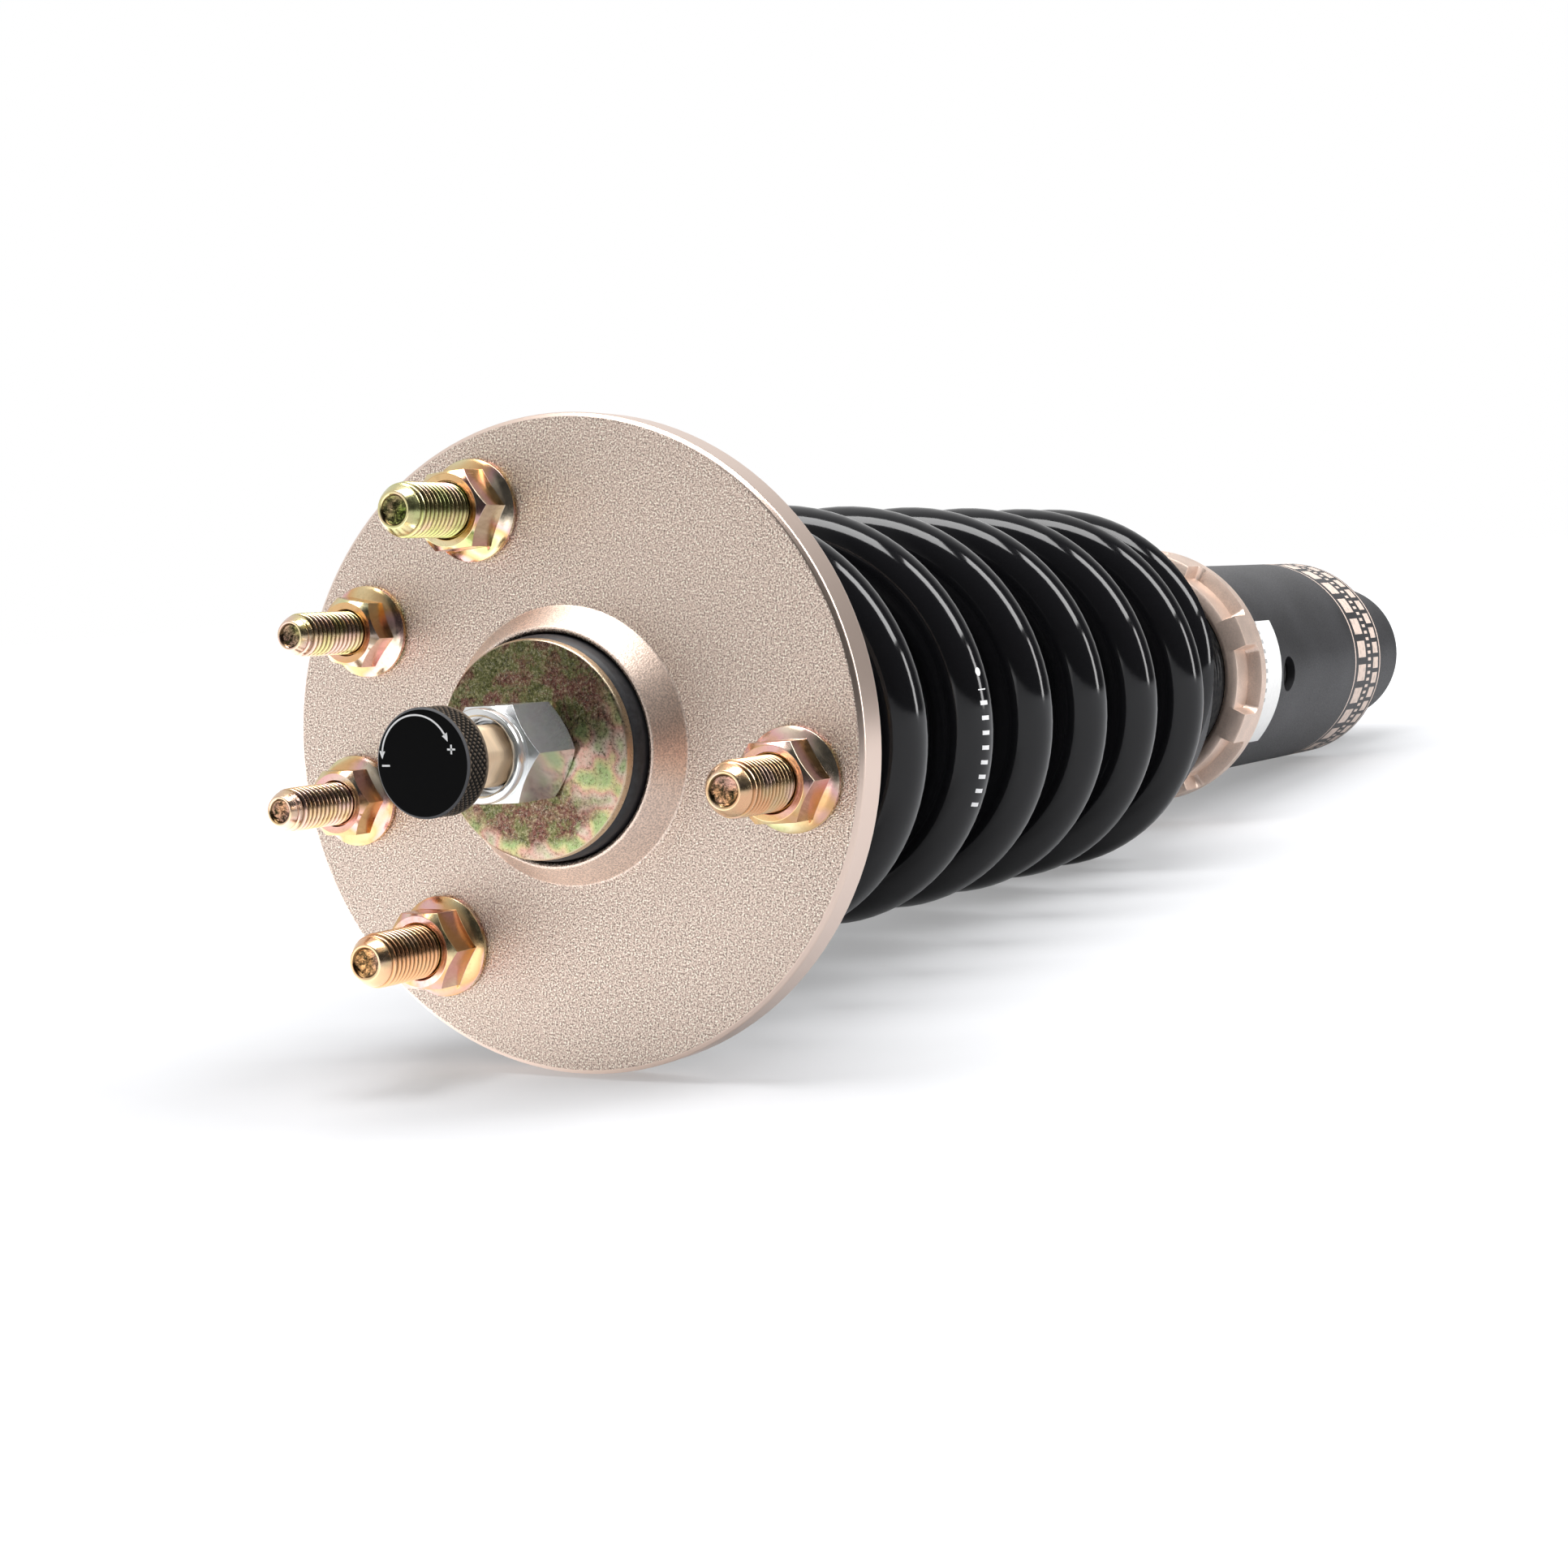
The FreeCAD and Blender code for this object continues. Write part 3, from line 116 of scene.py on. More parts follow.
class CoiloverSizes(bpy.types.PropertyGroup):
    """Lengths, angles and counts of the pieces that this script makes"""
    edge_round: length("Edge rounding", "Width of the rounding on machined edges", 0.25 * MM)
    stud_pitch: length("Stud thread pitch", "Rise of the stud threads per turn", 1.25 * MM)
    stud_thread: length("Stud thread depth", "Depth of the stud threads", 0.7 * MM)
    tube_pitch: length("Tube thread pitch", "Rise of the damper tube's thread per turn", 2 * MM)
    tube_thread: length("Tube thread depth", "Depth of the damper tube's thread", 0.9 * MM)
    knurl_depth: length("Knurl depth", "Depth of the knob's diamond knurl", 0.46 * MM)
    knurl_count: number("Knurl count", "Knurl lines round the knob", 46)
    wire_radius: length("Wire radius", "Half the thickness of the coil's wire", 6.5 * MM)
    active_turns: FloatProperty(name="Active turns", description="Turns between the closed ends",
                                default=6.27)
    tip_angle: angle_size("Coil tip angle", "Where the coil's lower end starts", 237.5)
    slot_count: number("Spanner slots", "Slots round the lower lock ring", 8)
    slot_angle: angle_size("Slot angle", "Width of one spanner slot", 30)
    slot_phase: angle_size("Slot phase", "Direction of the first slot's middle", 275.5)
    slot_floor: length("Slot floor radius", "Radius of the bottom of the spanner slots", 30.2 * MM)
    slot_lip: length("Slot lip", "Height of the wall left under the spanner slots", 4.4 * MM)
    boot_wall: length("Boot wall", "Thickness of the dust boot's wall", 1.2 * MM)
    boot_fold: length("Boot fold", "How far the boot's folds stand out", 1.8 * MM)
    boot_folds: number("Boot folds", "Number of folds in the dust boot", 6)


class CoiloverColours(bpy.types.PropertyGroup):
    """Main colours of the finishes"""
    champagne: tint("Champagne", "Anodised aluminium of the plate and ring", (0.645, 0.515, 0.442))
    gold: tint("Zinc gold", "Main tone of the yellow zinc", (0.74, 0.53, 0.27))
    pink: tint("Zinc pink", "Pink sheen of the yellow zinc", (0.80, 0.47, 0.45))
    silver: tint("Clear zinc", "Bright plating of the rod nut", (0.80, 0.81, 0.82))
    steel: tint("Bare steel", "Ground steel of the bearing and springs", (0.56, 0.57, 0.58))
    aluminium: tint("Plain aluminium", "Uncoated aluminium inside the damper", (0.72, 0.72, 0.71))
    brass: tint("Brass", "Adjuster spindle", (0.72, 0.52, 0.24))
    coating: tint("Black coating", "Gloss coat of the coil", (0.006, 0.006, 0.007))
    anodised: tint("Black anodising", "Knob, bracket and seats", (0.018, 0.018, 0.020))
    rubber: tint("Rubber", "Cushions, boot and seals", (0.016, 0.016, 0.018))
    foam: tint("Foam", "Bump stop", (0.78, 0.72, 0.55))
    plastic: tint("Plastic", "Bands, bushing and cage", (0.10, 0.10, 0.09))
    paper: tint("Paper", "Setup label", (0.80, 0.80, 0.79))
    print_white: tint("White print", "Marks on the knob and coil", (0.86, 0.86, 0.86))
    floor: tint("Floor", "Studio floor", (0.46, 0.465, 0.48))


def sizes():
    """The sizes set in the panel."""
    return bpy.context.scene.coilover_sizes


def colours():
    """The colours set in the panel."""
    return bpy.context.scene.coilover_colours


# Surfaces as arrays

def loop_faces(rows, columns, close_rows=False):
    """Quads of a grid numbered row by row, whose columns close on themselves: each joins a point to
    the next in its row and to the same two in the next row."""
    last = rows if close_rows else rows - 1
    row = np.arange(last)[:, None]
    column = np.arange(columns)[None, :]
    after = (column + 1) % columns
    above = (row + 1) % rows
    quads = [row * columns + column, row * columns + after,
             above * columns + after, above * columns + column]
    return np.stack(np.broadcast_arrays(*quads), axis=-1).reshape(-1, 4)


def points_of(mesh):
    """A mesh's points as rows of x, y and z."""
    points = np.empty(len(mesh.vertices) * 3)
    mesh.vertices.foreach_get("co", points)
    return points.reshape(-1, 3)


def corners_of(mesh):
    """The number of the point that each face corner stands on."""
    corners = np.empty(len(mesh.loops), np.int32)
    mesh.loops.foreach_get("vertex_index", corners)
    return corners


def in_rows(values, columns):
    """Each value of a list drawn out to a row of a grid."""
    return np.repeat(np.asarray(values, float)[:, None], columns, 1)


def around(radius, angle, height, middle=(0, 0)):
    """A grid round an upright axis: point = (middle + radius (cos a, sin a), height)."""
    return np.stack([
        middle[0] + radius * np.cos(angle), middle[1] + radius * np.sin(angle), height,
    ], axis=-1)


def stacked(angle, *parts, middle=(0, 0)):
    """Rings of points round an upright axis, from parts of (radii, heights). A list holds one
    value for each ring, and a grid holds one for each point."""
    radius, height = (
        np.vstack([part if np.ndim(part) == 2 else in_rows(part, len(angle)) for part in column])
        for column in zip(*parts)
    )
    return around(radius, angle, height, middle)


def new_mesh(name, points, faces, sharp=None):
    """A smooth mesh from an array of points and a list of faces, doubles merged. Edges that turn
    more than the sharp angle, in degrees, stay crisp."""
    mesh = bpy.data.meshes.new(name)
    mesh.from_pydata(np.asarray(points, float).tolist(), [], faces)
    work = bmesh.new()
    work.from_mesh(mesh)
    bmesh.ops.remove_doubles(work, verts=work.verts, dist=WELD)
    bmesh.ops.dissolve_degenerate(work, edges=work.edges, dist=SLIVER)
    work.to_mesh(mesh)
    work.free()
    mesh.shade_smooth()
    if sharp is not None:
        mesh.set_sharp_from_angle(angle=math.radians(sharp))
    mesh.update()
    return mesh


def ring_surface(name, rings, first_pole=None, last_pole=None, closed=False, sharp=None):
    """A skin over rings of points, an array of rings by points by 3, that run round the same way.
    Each pole closes its end with a fan to one point, or closed joins the last ring to the first."""
    rows, columns = rings.shape[:2]
    points = rings.reshape(-1, 3)
    faces = loop_faces(rows, columns, closed).tolist()
    column = np.arange(columns)
    if first_pole is not None:
        points = np.vstack([points, first_pole])
        pole = np.full(columns, len(points) - 1)
        faces += np.stack([pole, (column + 1) % columns, column], 1).tolist()
    if last_pole is not None:
        points = np.vstack([points, last_pole])
        pole = np.full(columns, len(points) - 1)
        start = (rows - 1) * columns
        faces += np.stack([pole, start + column, start + (column + 1) % columns], 1).tolist()
    return new_mesh(name, points, faces, sharp)


def rounded(profile, width, steps=4, closed=True):
    """A profile with each corner replaced by a parabola that starts and ends a width from it, or
    less where a side is short: point = (1 - t)^2 start + 2 t (1 - t) corner + t^2 end."""
    points = np.asarray(profile, float)
    before = np.roll(points, 1, axis=0)
    after = np.roll(points, -1, axis=0)
    to_before, to_after = before - points, after - points
    before_length = np.linalg.norm(to_before, axis=1)
    after_length = np.linalg.norm(to_after, axis=1)
    reach_back = np.minimum(width, CORNER_SHARE * np.minimum(before_length, after_length))
    start = points + to_before * (reach_back / before_length)[:, None]
    end = points + to_after * (reach_back / after_length)[:, None]
    t = np.linspace(0, 1, steps + 1)[None, :, None]
    bend = (1 - t) ** 2 * start[:, None] + 2 * t * (1 - t) * points[:, None] + t ** 2 * end[:, None]
    if closed:
        return bend.reshape(-1, 2)
    return np.vstack([points[:1], *bend[1:-1], points[-1:]])


def turned(name, profile, segments=128, sharp=None, closed=True):
    """A profile of (radius, height) turned about the strut's axis: point = (radius cos a, radius
    sin a, height). The profile runs up the outside. An open one starts and ends on the axis."""
    profile = np.asarray(profile, float)
    angle = np.linspace(0, TURN, segments, endpoint=False)
    body = profile if closed else profile[1:-1]
    rings = stacked(angle, body.T)
    if closed:
        return ring_surface(name, rings, closed=True, sharp=sharp)
    return ring_surface(name, rings, [0, 0, profile[0, 1]], [0, 0, profile[-1, 1]], sharp=sharp)


def helical_wave(height, angle, pitch):
    """A V-shaped right-hand thread from 0 at its crest to 1 at its root: phase = height / pitch -
    angle / turn, wave = 1 - |2 (phase mod 1) - 1|, cut flat at crest and root."""
    phase = (height / pitch - angle / TURN) % 1
    folded = 1 - np.abs(2 * phase - 1)
    return np.clip((folded - THREAD_LAND) / (1 - 2 * THREAD_LAND), 0, 1)


def smoothstep(value):
    """A soft step from 0 to 1: v^2 (3 - 2 v)."""
    value = np.clip(value, 0, 1)
    return value * value * (3 - 2 * value)


# Putting a piece in place

def added(name, data):
    """A new object in the scene."""
    thing = bpy.data.objects.new(name, data)
    bpy.context.scene.collection.objects.link(thing)
    return thing


def piece(name, mesh, finish, body, nodes=()):
    """Add a mesh as a piece with its finish, riding on a body and standing for its CAD nodes."""
    thing = added(name, mesh)
    mesh.materials.clear()
    mesh.materials.append(finish)
    if nodes:
        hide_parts(*nodes)
    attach(thing, body)
    return thing


def slot_of(node):
    """The finish that the record gives a CAD node."""
    parts = frame["record"]["subparts"]
    return next(part["material_slot"] for part in parts if part["node"] == node)


def body_of(node):
    """The moving body that a CAD node belongs to."""
    bodies = frame["record"]["behaviour"]["bodies"]
    return next(body for body, nodes in bodies.items() if node in nodes)


def stand_in(name, mesh, finish, body, node):
    """A piece that stands for one CAD node and takes its place."""
    return piece(name, mesh, finish, body, [node])


def rounded_copy(node, width=None, segments=2, finish=None, even=False):
    """A CAD node's triangles, merged, flat ones joined, with rounded edges, in place of the node.
    Even shading lets the large faces lead, so that a round edge has one unbroken highlight."""
    source = frame["nodes"][node].data
    keys = np.round(points_of(source) / WELD).astype(np.int64)
    kept, where = np.unique(keys, axis=0, return_inverse=True)
    faces = where.reshape(-1)[corners_of(source)].reshape(-1, 3)
    whole = (faces != np.roll(faces, -1, axis=1)).all(axis=1)
    mesh = bpy.data.meshes.new(node + "_finished")
    mesh.from_pydata((kept * WELD).tolist(), [], faces[whole].tolist())
    work = bmesh.new()
    work.from_mesh(mesh)
    bmesh.ops.remove_doubles(work, verts=work.verts, dist=2 * WELD)
    bmesh.ops.dissolve_limit(work, angle_limit=math.radians(FLAT),
                             verts=work.verts, edges=work.edges)
    work.to_mesh(mesh)
    work.free()
    mesh.shade_smooth()
    mesh.set_sharp_from_angle(angle=math.radians(SHARP))
    finish = finish or FINISHES[slot_of(node)]()
    thing = stand_in(node + "_finished", mesh, finish, body_of(node), node)
    bevel = thing.modifiers.new("rounded_edges", "BEVEL")
    bevel.width = sizes().edge_round if width is None else width
    bevel.segments = segments
    bevel.limit_method = "ANGLE"
    bevel.angle_limit = math.radians(SHARP)
    bevel.harden_normals = not even
    if even:
        thing.modifiers.new("even_shading", "WEIGHTED_NORMAL").keep_sharp = True


# Finishes

NOISE_LOW, NOISE_HIGH = 0.3, 0.7  # most of a noise lies between these


class Graph:
    """A tree of nodes, and short calls that add to it."""

    def __init__(self, tree):
        self.tree = tree

    def link(self, value, socket):
        """Set a socket to a number, a colour or a direction, or link another node's output."""
        if isinstance(value, bpy.types.NodeSocket):
            self.tree.links.new(value, socket)
        elif socket.type == "RGBA" and len(value) == 3:
            socket.default_value = (*value, 1)
        else:
            socket.default_value = value

    def node(self, kind, inputs=(), **settings):
        """A node whose inputs take numbers, colours or other nodes' outputs."""
        made = self.tree.nodes.new(kind)
        for key, value in settings.items():
            setattr(made, key, value)
        for key, value in dict(inputs).items():
            self.link(value, made.inputs[key])
        return made

    def sum(self, operation, first, second=0.0):
        """One step of arithmetic on numbers or outputs."""
        return self.node("ShaderNodeMath", {0: first, 1: second}, operation=operation).outputs[0]

    def vector(self, operation, first, second=(0, 0, 0)):
        """One step of arithmetic on vectors."""
        return self.node("ShaderNodeVectorMath", {0: first, 1: second}, operation=operation).outputs

    def spread(self, value, low, high, start=0.0, end=1.0):
        """A value's range from low to high carried over to start to end, and held outside it."""
        return self.node("ShaderNodeMapRange", {
            "Value": value, "From Min": low, "From Max": high, "To Min": start, "To Max": end,
        }).outputs["Result"]


class Finish(Graph):
    """A material with one Principled shader, and short calls that add its nodes."""

    def __init__(self, name, colour=(0.5, 0.5, 0.5), **inputs):
        self.material = bpy.data.materials.new(name)
        self.material.use_nodes = True
        super().__init__(self.material.node_tree)
        self.shader = self.tree.nodes["Principled BSDF"]
        self.shader.inputs["Base Color"].default_value = (*colour, 1)
        for socket, value in inputs.items():
            self.shader.inputs[socket.replace("_", " ")].default_value = value
        self.coordinates = self.tree.nodes.new("ShaderNodeTexCoord")
        self.place = self.stretched(1, 1, 1)

    def feed(self, socket, output):
        """Let an output drive one of the shader's sockets."""
        self.tree.links.new(output, self.shader.inputs[socket])

    def noise(self, scale, detail=2.0, vector=None, roughness=0.5, distortion=0.0):
        """Noise from 0 to 1 with about scale features per millimetre."""
        return self.node("ShaderNodeTexNoise", {
            "Vector": vector or self.place, "Scale": scale, "Detail": detail,
            "Roughness": roughness, "Distortion": distortion,
        }).outputs["Fac"]

    def cells(self, scale):
        """Distance from the middle of the nearest cell, with scale cells per millimetre."""
        made = self.node("ShaderNodeTexVoronoi", {"Vector": self.place, "Scale": scale})
        return made.outputs["Distance"]

    def depth(self):
        """How far a point lies under its piece's outline, in millimetres."""
        return self.node("ShaderNodeAttribute", attribute_name="depth").outputs["Fac"]

    def stretched(self, across, along, up):
        """Object coordinates in millimetres, scaled by direction."""
        return self.node("ShaderNodeMapping", {
            "Vector": self.coordinates.outputs["Object"],
            "Scale": (across / MM, along / MM, up / MM),
        }).outputs[0]

    def between(self, value, low, high):
        """1 where a value lies between two others, 0 elsewhere."""
        above = self.sum("GREATER_THAN", value, low)
        below = self.sum("LESS_THAN", value, high)
        return self.sum("MULTIPLY", above, below)

    def tones(self, value, *stops):
        """A colour ramp through (position, colour) stops."""
        ramp = self.node("ShaderNodeValToRGB", {0: value})
        while len(ramp.color_ramp.elements) < len(stops):
            ramp.color_ramp.elements.new(0.5)
        for element, (position, colour) in zip(ramp.color_ramp.elements, stops):
            element.position = position
            element.color = (*colour, 1)
        return ramp.outputs[0]

    def mottled(self, value, colour, dark, pale):
        """A colour times dark where a noise is low, and times pale where it is high."""
        return self.tones(value, (NOISE_LOW, shade(colour, dark)),
                          (NOISE_HIGH, shade(colour, pale)))

    def rough(self, value, smooth, coarse, high=NOISE_HIGH):
        """Roughness that runs from smooth to coarse as a noise goes from low to high."""
        self.feed("Roughness", self.spread(value, NOISE_LOW, high, smooth, coarse))

    def blend(self, share, first, second):
        """Two colours mixed by a share."""
        made = self.tree.nodes.new("ShaderNodeMix")
        made.data_type = "RGBA"
        for key, value in zip((0, 6, 7), (share, first, second)):
            self.link(value, made.inputs[key])
        return made.outputs[2]

    def mixed(self, share, first, second):
        """Two shaders mixed by a share."""
        return self.node("ShaderNodeMixShader", {0: share, 1: first, 2: second}).outputs[0]

    def radius(self):
        """Distance from the strut's axis in millimetres."""
        flat = self.vector("MULTIPLY", self.place, (1, 1, 0))[0]
        return self.vector("LENGTH", flat)["Value"]

    def toward(self, direction):
        """How far a point lies in a direction, in millimetres."""
        return self.vector("DOT_PRODUCT", self.place, direction)["Value"]

    def away(self, spot):
        """Distance from a spot in millimetres."""
        return self.vector("DISTANCE", self.place, spot)["Value"]

    def split(self):
        """The three coordinates in millimetres."""
        return self.node("ShaderNodeSeparateXYZ", {0: self.place}).outputs

    def marks_round(self, count, part, heights):
        """1 on marks round the strut between two heights. Each fills a part, from and to, of its
        share of the turn: share = fraction of count * angle / turn."""
        x, y, z = self.split()
        turn = self.sum("DIVIDE", self.sum("ARCTAN2", y, x), TURN)
        share = self.sum("FRACT", self.sum("MULTIPLY", turn, count))
        return self.sum("MULTIPLY", self.between(share, *part), self.between(z, *heights))

    def bump(self, height, strength, distance=0.1 * MM):
        """Relief from a height, its strength a number or an output."""
        made = self.node("ShaderNodeBump", {
            "Height": height, "Strength": strength, "Distance": distance,
        })
        self.feed("Normal", made.outputs[0])

    def facing(self):
        """The surface's own direction, which follows the piece."""
        return self.coordinates.outputs["Normal"]


def shade(colour, factor):
    """A colour made darker or paler, each channel held under 1."""
    return tuple(min(1.0, channel * factor) for channel in colour)


FINISHES = {}


def made_once(maker):
    """List a finish under its name, and keep one material of it, so that pieces share it."""
    made = []

    def get():
        if not made:
            made.append(maker())
        return made[0]

    FINISHES[maker.__name__] = get
    return get


# Where finishes change on a piece, in millimetres: radii on the plate, washer and bracket, the
# middle of the painted reflection on the washer, heights on the plate, bracket and label, and both
# on the knob

PLATE_RIM = 59.15
BOSS_CONE = (21.4, 25.6)
PLATE_FACE = 0.04
WASHER_EDGE = (19.35, 19.6)
WASHER_SHEEN_BAND = (18.6, 20.6)
WASHER_REFLECTION = (-1.5, -13.0, 11.0)
BRACKET_OUTSIDE = 28.5
BAND_LINES = ((-384.0, -383.2), (-408.0, -407.2))
BAND_TICKS = (-398.4, -395.6)
BAND_WIDE = (-393.6, -386.4)
BAND_NARROW = (-405.6, -400.8)
LABEL_TICKS = (-303.6, -301.6)
KNURL_TOP = 44.35
KNURL_RADIUS = 8.6
CREST_RADIUS = 8.9
KNOB_EDGE_RADII = (9.02, 9.40)
KNOB_EDGE_HEIGHTS = (44.4, 44.85)

# The coil's row of marks: its place along the wire and round it, in millimetres

MARK_START = 1188.0
MARK_END = 1209.0
MARK_STEP = 2.6
MARK_LONG = 0.75
MARK_SIDE = 1.7
MARK_HALF = 1.1
DOT_AFTER = 3.0
DOT_AREA = 0.55  # square of the dot's radius

NEAR_BLACK = (0.002, 0.002, 0.0022)
DUST_GREY = (0.10, 0.10, 0.10)


@made_once
def champagne_anodised():
    """Bead-blasted anodised plate: grain and sparkle on the face and the boss, faint turning rings
    under the blast, and a machined rim. The boss's cone is painted lighter than the face all
    round, a painted highlight."""
    tone = colours().champagne
    f = Finish("champagne_blasted", tone, Metallic=1.0)
    grain = f.noise(3.0, 1, roughness=0.6)
    sparkle = f.noise(2.2, 1)
    drift = f.noise(0.02, 1)
    radius = f.radius()
    rim = f.sum("GREATER_THAN", radius, PLATE_RIM)
    speckle = f.tones(grain, (0.32, shade(tone, 0.30)), (0.44, shade(tone, 0.74)),
                      (0.56, shade(tone, 1.14)), (0.68, shade(tone, 1.95)))
    drifted = f.blend(f.spread(drift, NOISE_LOW, NOISE_HIGH, 0, 0.3), speckle, shade(tone, 0.92))
    outward = f.node("ShaderNodeCombineXYZ", {"X": f.sum("MULTIPLY", radius, 1.6)}).outputs[0]
    rings = f.noise(1.0, 3, outward)
    ringed = f.spread(rings, NOISE_LOW, NOISE_HIGH, 0, 0.16)
    turned_face = f.blend(ringed, drifted, shade(tone, 0.62))
    above = f.sum("GREATER_THAN", f.split()[2], PLATE_FACE)
    boss = f.sum("MULTIPLY", f.between(radius, *BOSS_CONE), above)
    # painted highlight: the boss's cone is painted lighter than the face all round
    boss_painted_highlight = f.tones(grain, (0.34, shade(tone, 1.0)), (0.66, shade(tone, 1.6)))
    f.feed("Base Color", f.blend(rim, f.blend(boss, turned_face, boss_painted_highlight), shade(tone, 1.3)))
    face = f.spread(sparkle, NOISE_LOW, NOISE_HIGH, 0.30, 0.56)
    f.feed("Roughness", f.blend(rim, f.blend(boss, face, (0.52,) * 3), (0.30,) * 3))
    relief = f.sum("ADD", grain, f.sum("MULTIPLY", rings, 0.35))
    smooth = f.sum("MAXIMUM", rim, f.sum("MULTIPLY", boss, 0.7))
    f.bump(relief, f.spread(smooth, 0, 1, 0.95, 0.04), 0.15 * MM)
    return f.material


@made_once
def champagne_bright():
    """Machined and anodised stem: smooth, with faint turning marks."""
    tone = (0.92, 0.72, 0.51)
    f = Finish("champagne_bright", tone, Metallic=0.6)
    marks = f.noise(1.0, 3, f.stretched(0.15, 0.15, 6))
    f.feed("Base Color", f.mottled(marks, tone, 0.9, 1.08))
    f.rough(marks, 0.30, 0.42)
    f.bump(marks, 0.08, 0.05 * MM)
    return f.material


@made_once
def champagne_matt():
    """Matt anodised lock ring: a fine etch with brighter worn edges."""
    tone = colours().champagne
    f = Finish("champagne_matt", tone, Metallic=1.0)
    etch = f.noise(2.6, 4, roughness=0.6)
    cloud = f.noise(0.12, 2)
    wear = f.spread(f.node("ShaderNodeNewGeometry").outputs["Pointiness"], 0.51, 0.56)
    base = f.mottled(etch, tone, 1.24, 1.58)
    clouded = f.blend(f.spread(cloud, 0.35, 0.7, 0, 0.4), base, shade(tone, 0.85))
    f.feed("Base Color", f.blend(f.sum("MULTIPLY", wear, 0.7), clouded, shade(tone, 1.5)))
    f.rough(etch, 0.42, 0.56)
    f.bump(etch, 0.25, 0.08 * MM)
    return f.material


def zinc_film(f, size, low=0.28, high=0.72):
    """A tone from 0 to 1 for a zinc film: soft clouds that also change with a face's direction."""
    tilt = f.vector("MULTIPLY", f.facing(), (0.75,) * 3)[0]
    spot = f.vector("MULTIPLY", f.place, (size,) * 3)[0]
    clouds = f.noise(1.0, 1, f.vector("ADD", spot, tilt)[0], 0.4, 0.2)
    return f.spread(clouds, low, high)


def zinc_tones(f, film):
    """Yellow zinc's colours along its film: green gold, straw, gold, copper, pink and pale gold."""
    c = colours()
    return f.tones(film, (0.0, (0.52, 0.60, 0.25)), (0.16, (0.78, 0.68, 0.42)), (0.34, c.gold),
                   (0.52, (0.74, 0.43, 0.20)), (0.72, c.pink), (1.0, (0.84, 0.72, 0.56)))


@made_once
def yellow_zinc():
    """Yellow zinc plate: soft gold, with wide copper, pink and green sheens."""
    c = colours()
    f = Finish("yellow_zinc", c.gold, Metallic=1.0)
    film = zinc_film(f, 0.045, 0.30, 0.70)
    streaks = f.noise(1.0, 3, f.stretched(0.9, 0.9, 0.25), 0.6)
    tone = zinc_tones(f, film)
    f.feed("Base Color", f.blend(f.spread(streaks, 0.5, 0.8, 0, 0.35), tone, shade(c.gold, 0.55)))
    f.rough(streaks, 0.13, 0.28, 0.75)
    f.bump(f.noise(0.9, 2), 0.10, 0.10 * MM)
    return f.material


@made_once
def zinc_thread():
    """Yellow zinc on a thread, its film changing across the plate from green gold to copper: a
    painted highlight on the crests, painted shade in the grooves, and a dull, crumbly cup at the
    end."""
    f = Finish("zinc_thread", colours().gold, Metallic=1.0)
    depth = f.depth()
    slope = f.spread(f.toward((-0.75, -0.30, 0.0)), -40.0, 32.0, 0.24, 0.72)
    film = f.sum("ADD", slope, f.spread(f.noise(0.16, 1), NOISE_LOW, NOISE_HIGH, -0.16, 0.16))
    tone = f.tones(film, (0.14, (0.50, 0.55, 0.19)), (0.30, (0.66, 0.54, 0.26)),
                   (0.42, (0.76, 0.48, 0.42)), (0.54, (0.68, 0.46, 0.24)),
                   (0.66, (0.80, 0.40, 0.20)))
    # painted highlight: the crests are painted paler; painted shade: the grooves are painted dark
    crest = f.blend(f.spread(depth, 0.0, 0.16, 0.22, 0.0), tone, (0.90, 0.80, 0.60))
    painted_groove_shade = f.blend(f.spread(depth, 0.14, 0.46, 0, 0.92), crest, (0.09, 0.055, 0.02))
    crumbs = f.noise(0.9, 4, roughness=0.7)
    cup = f.tones(film, (0.16, (0.20, 0.27, 0.05)), (0.34, (0.24, 0.20, 0.09)),
                  (0.46, (0.52, 0.30, 0.24)), (0.62, (0.74, 0.40, 0.17)))
    dull = f.blend(f.spread(crumbs, 0.38, 0.60), (0.025, 0.024, 0.010), cup)
    f.feed("Base Color", f.blend(f.spread(depth, 0.95, 1.25), painted_groove_shade, dull))
    f.rough(crumbs, 0.16, 0.32, 0.75)
    f.bump(crumbs, f.spread(depth, 0.95, 1.3, 0.03, 0.9), 0.25 * MM)
    return f.material


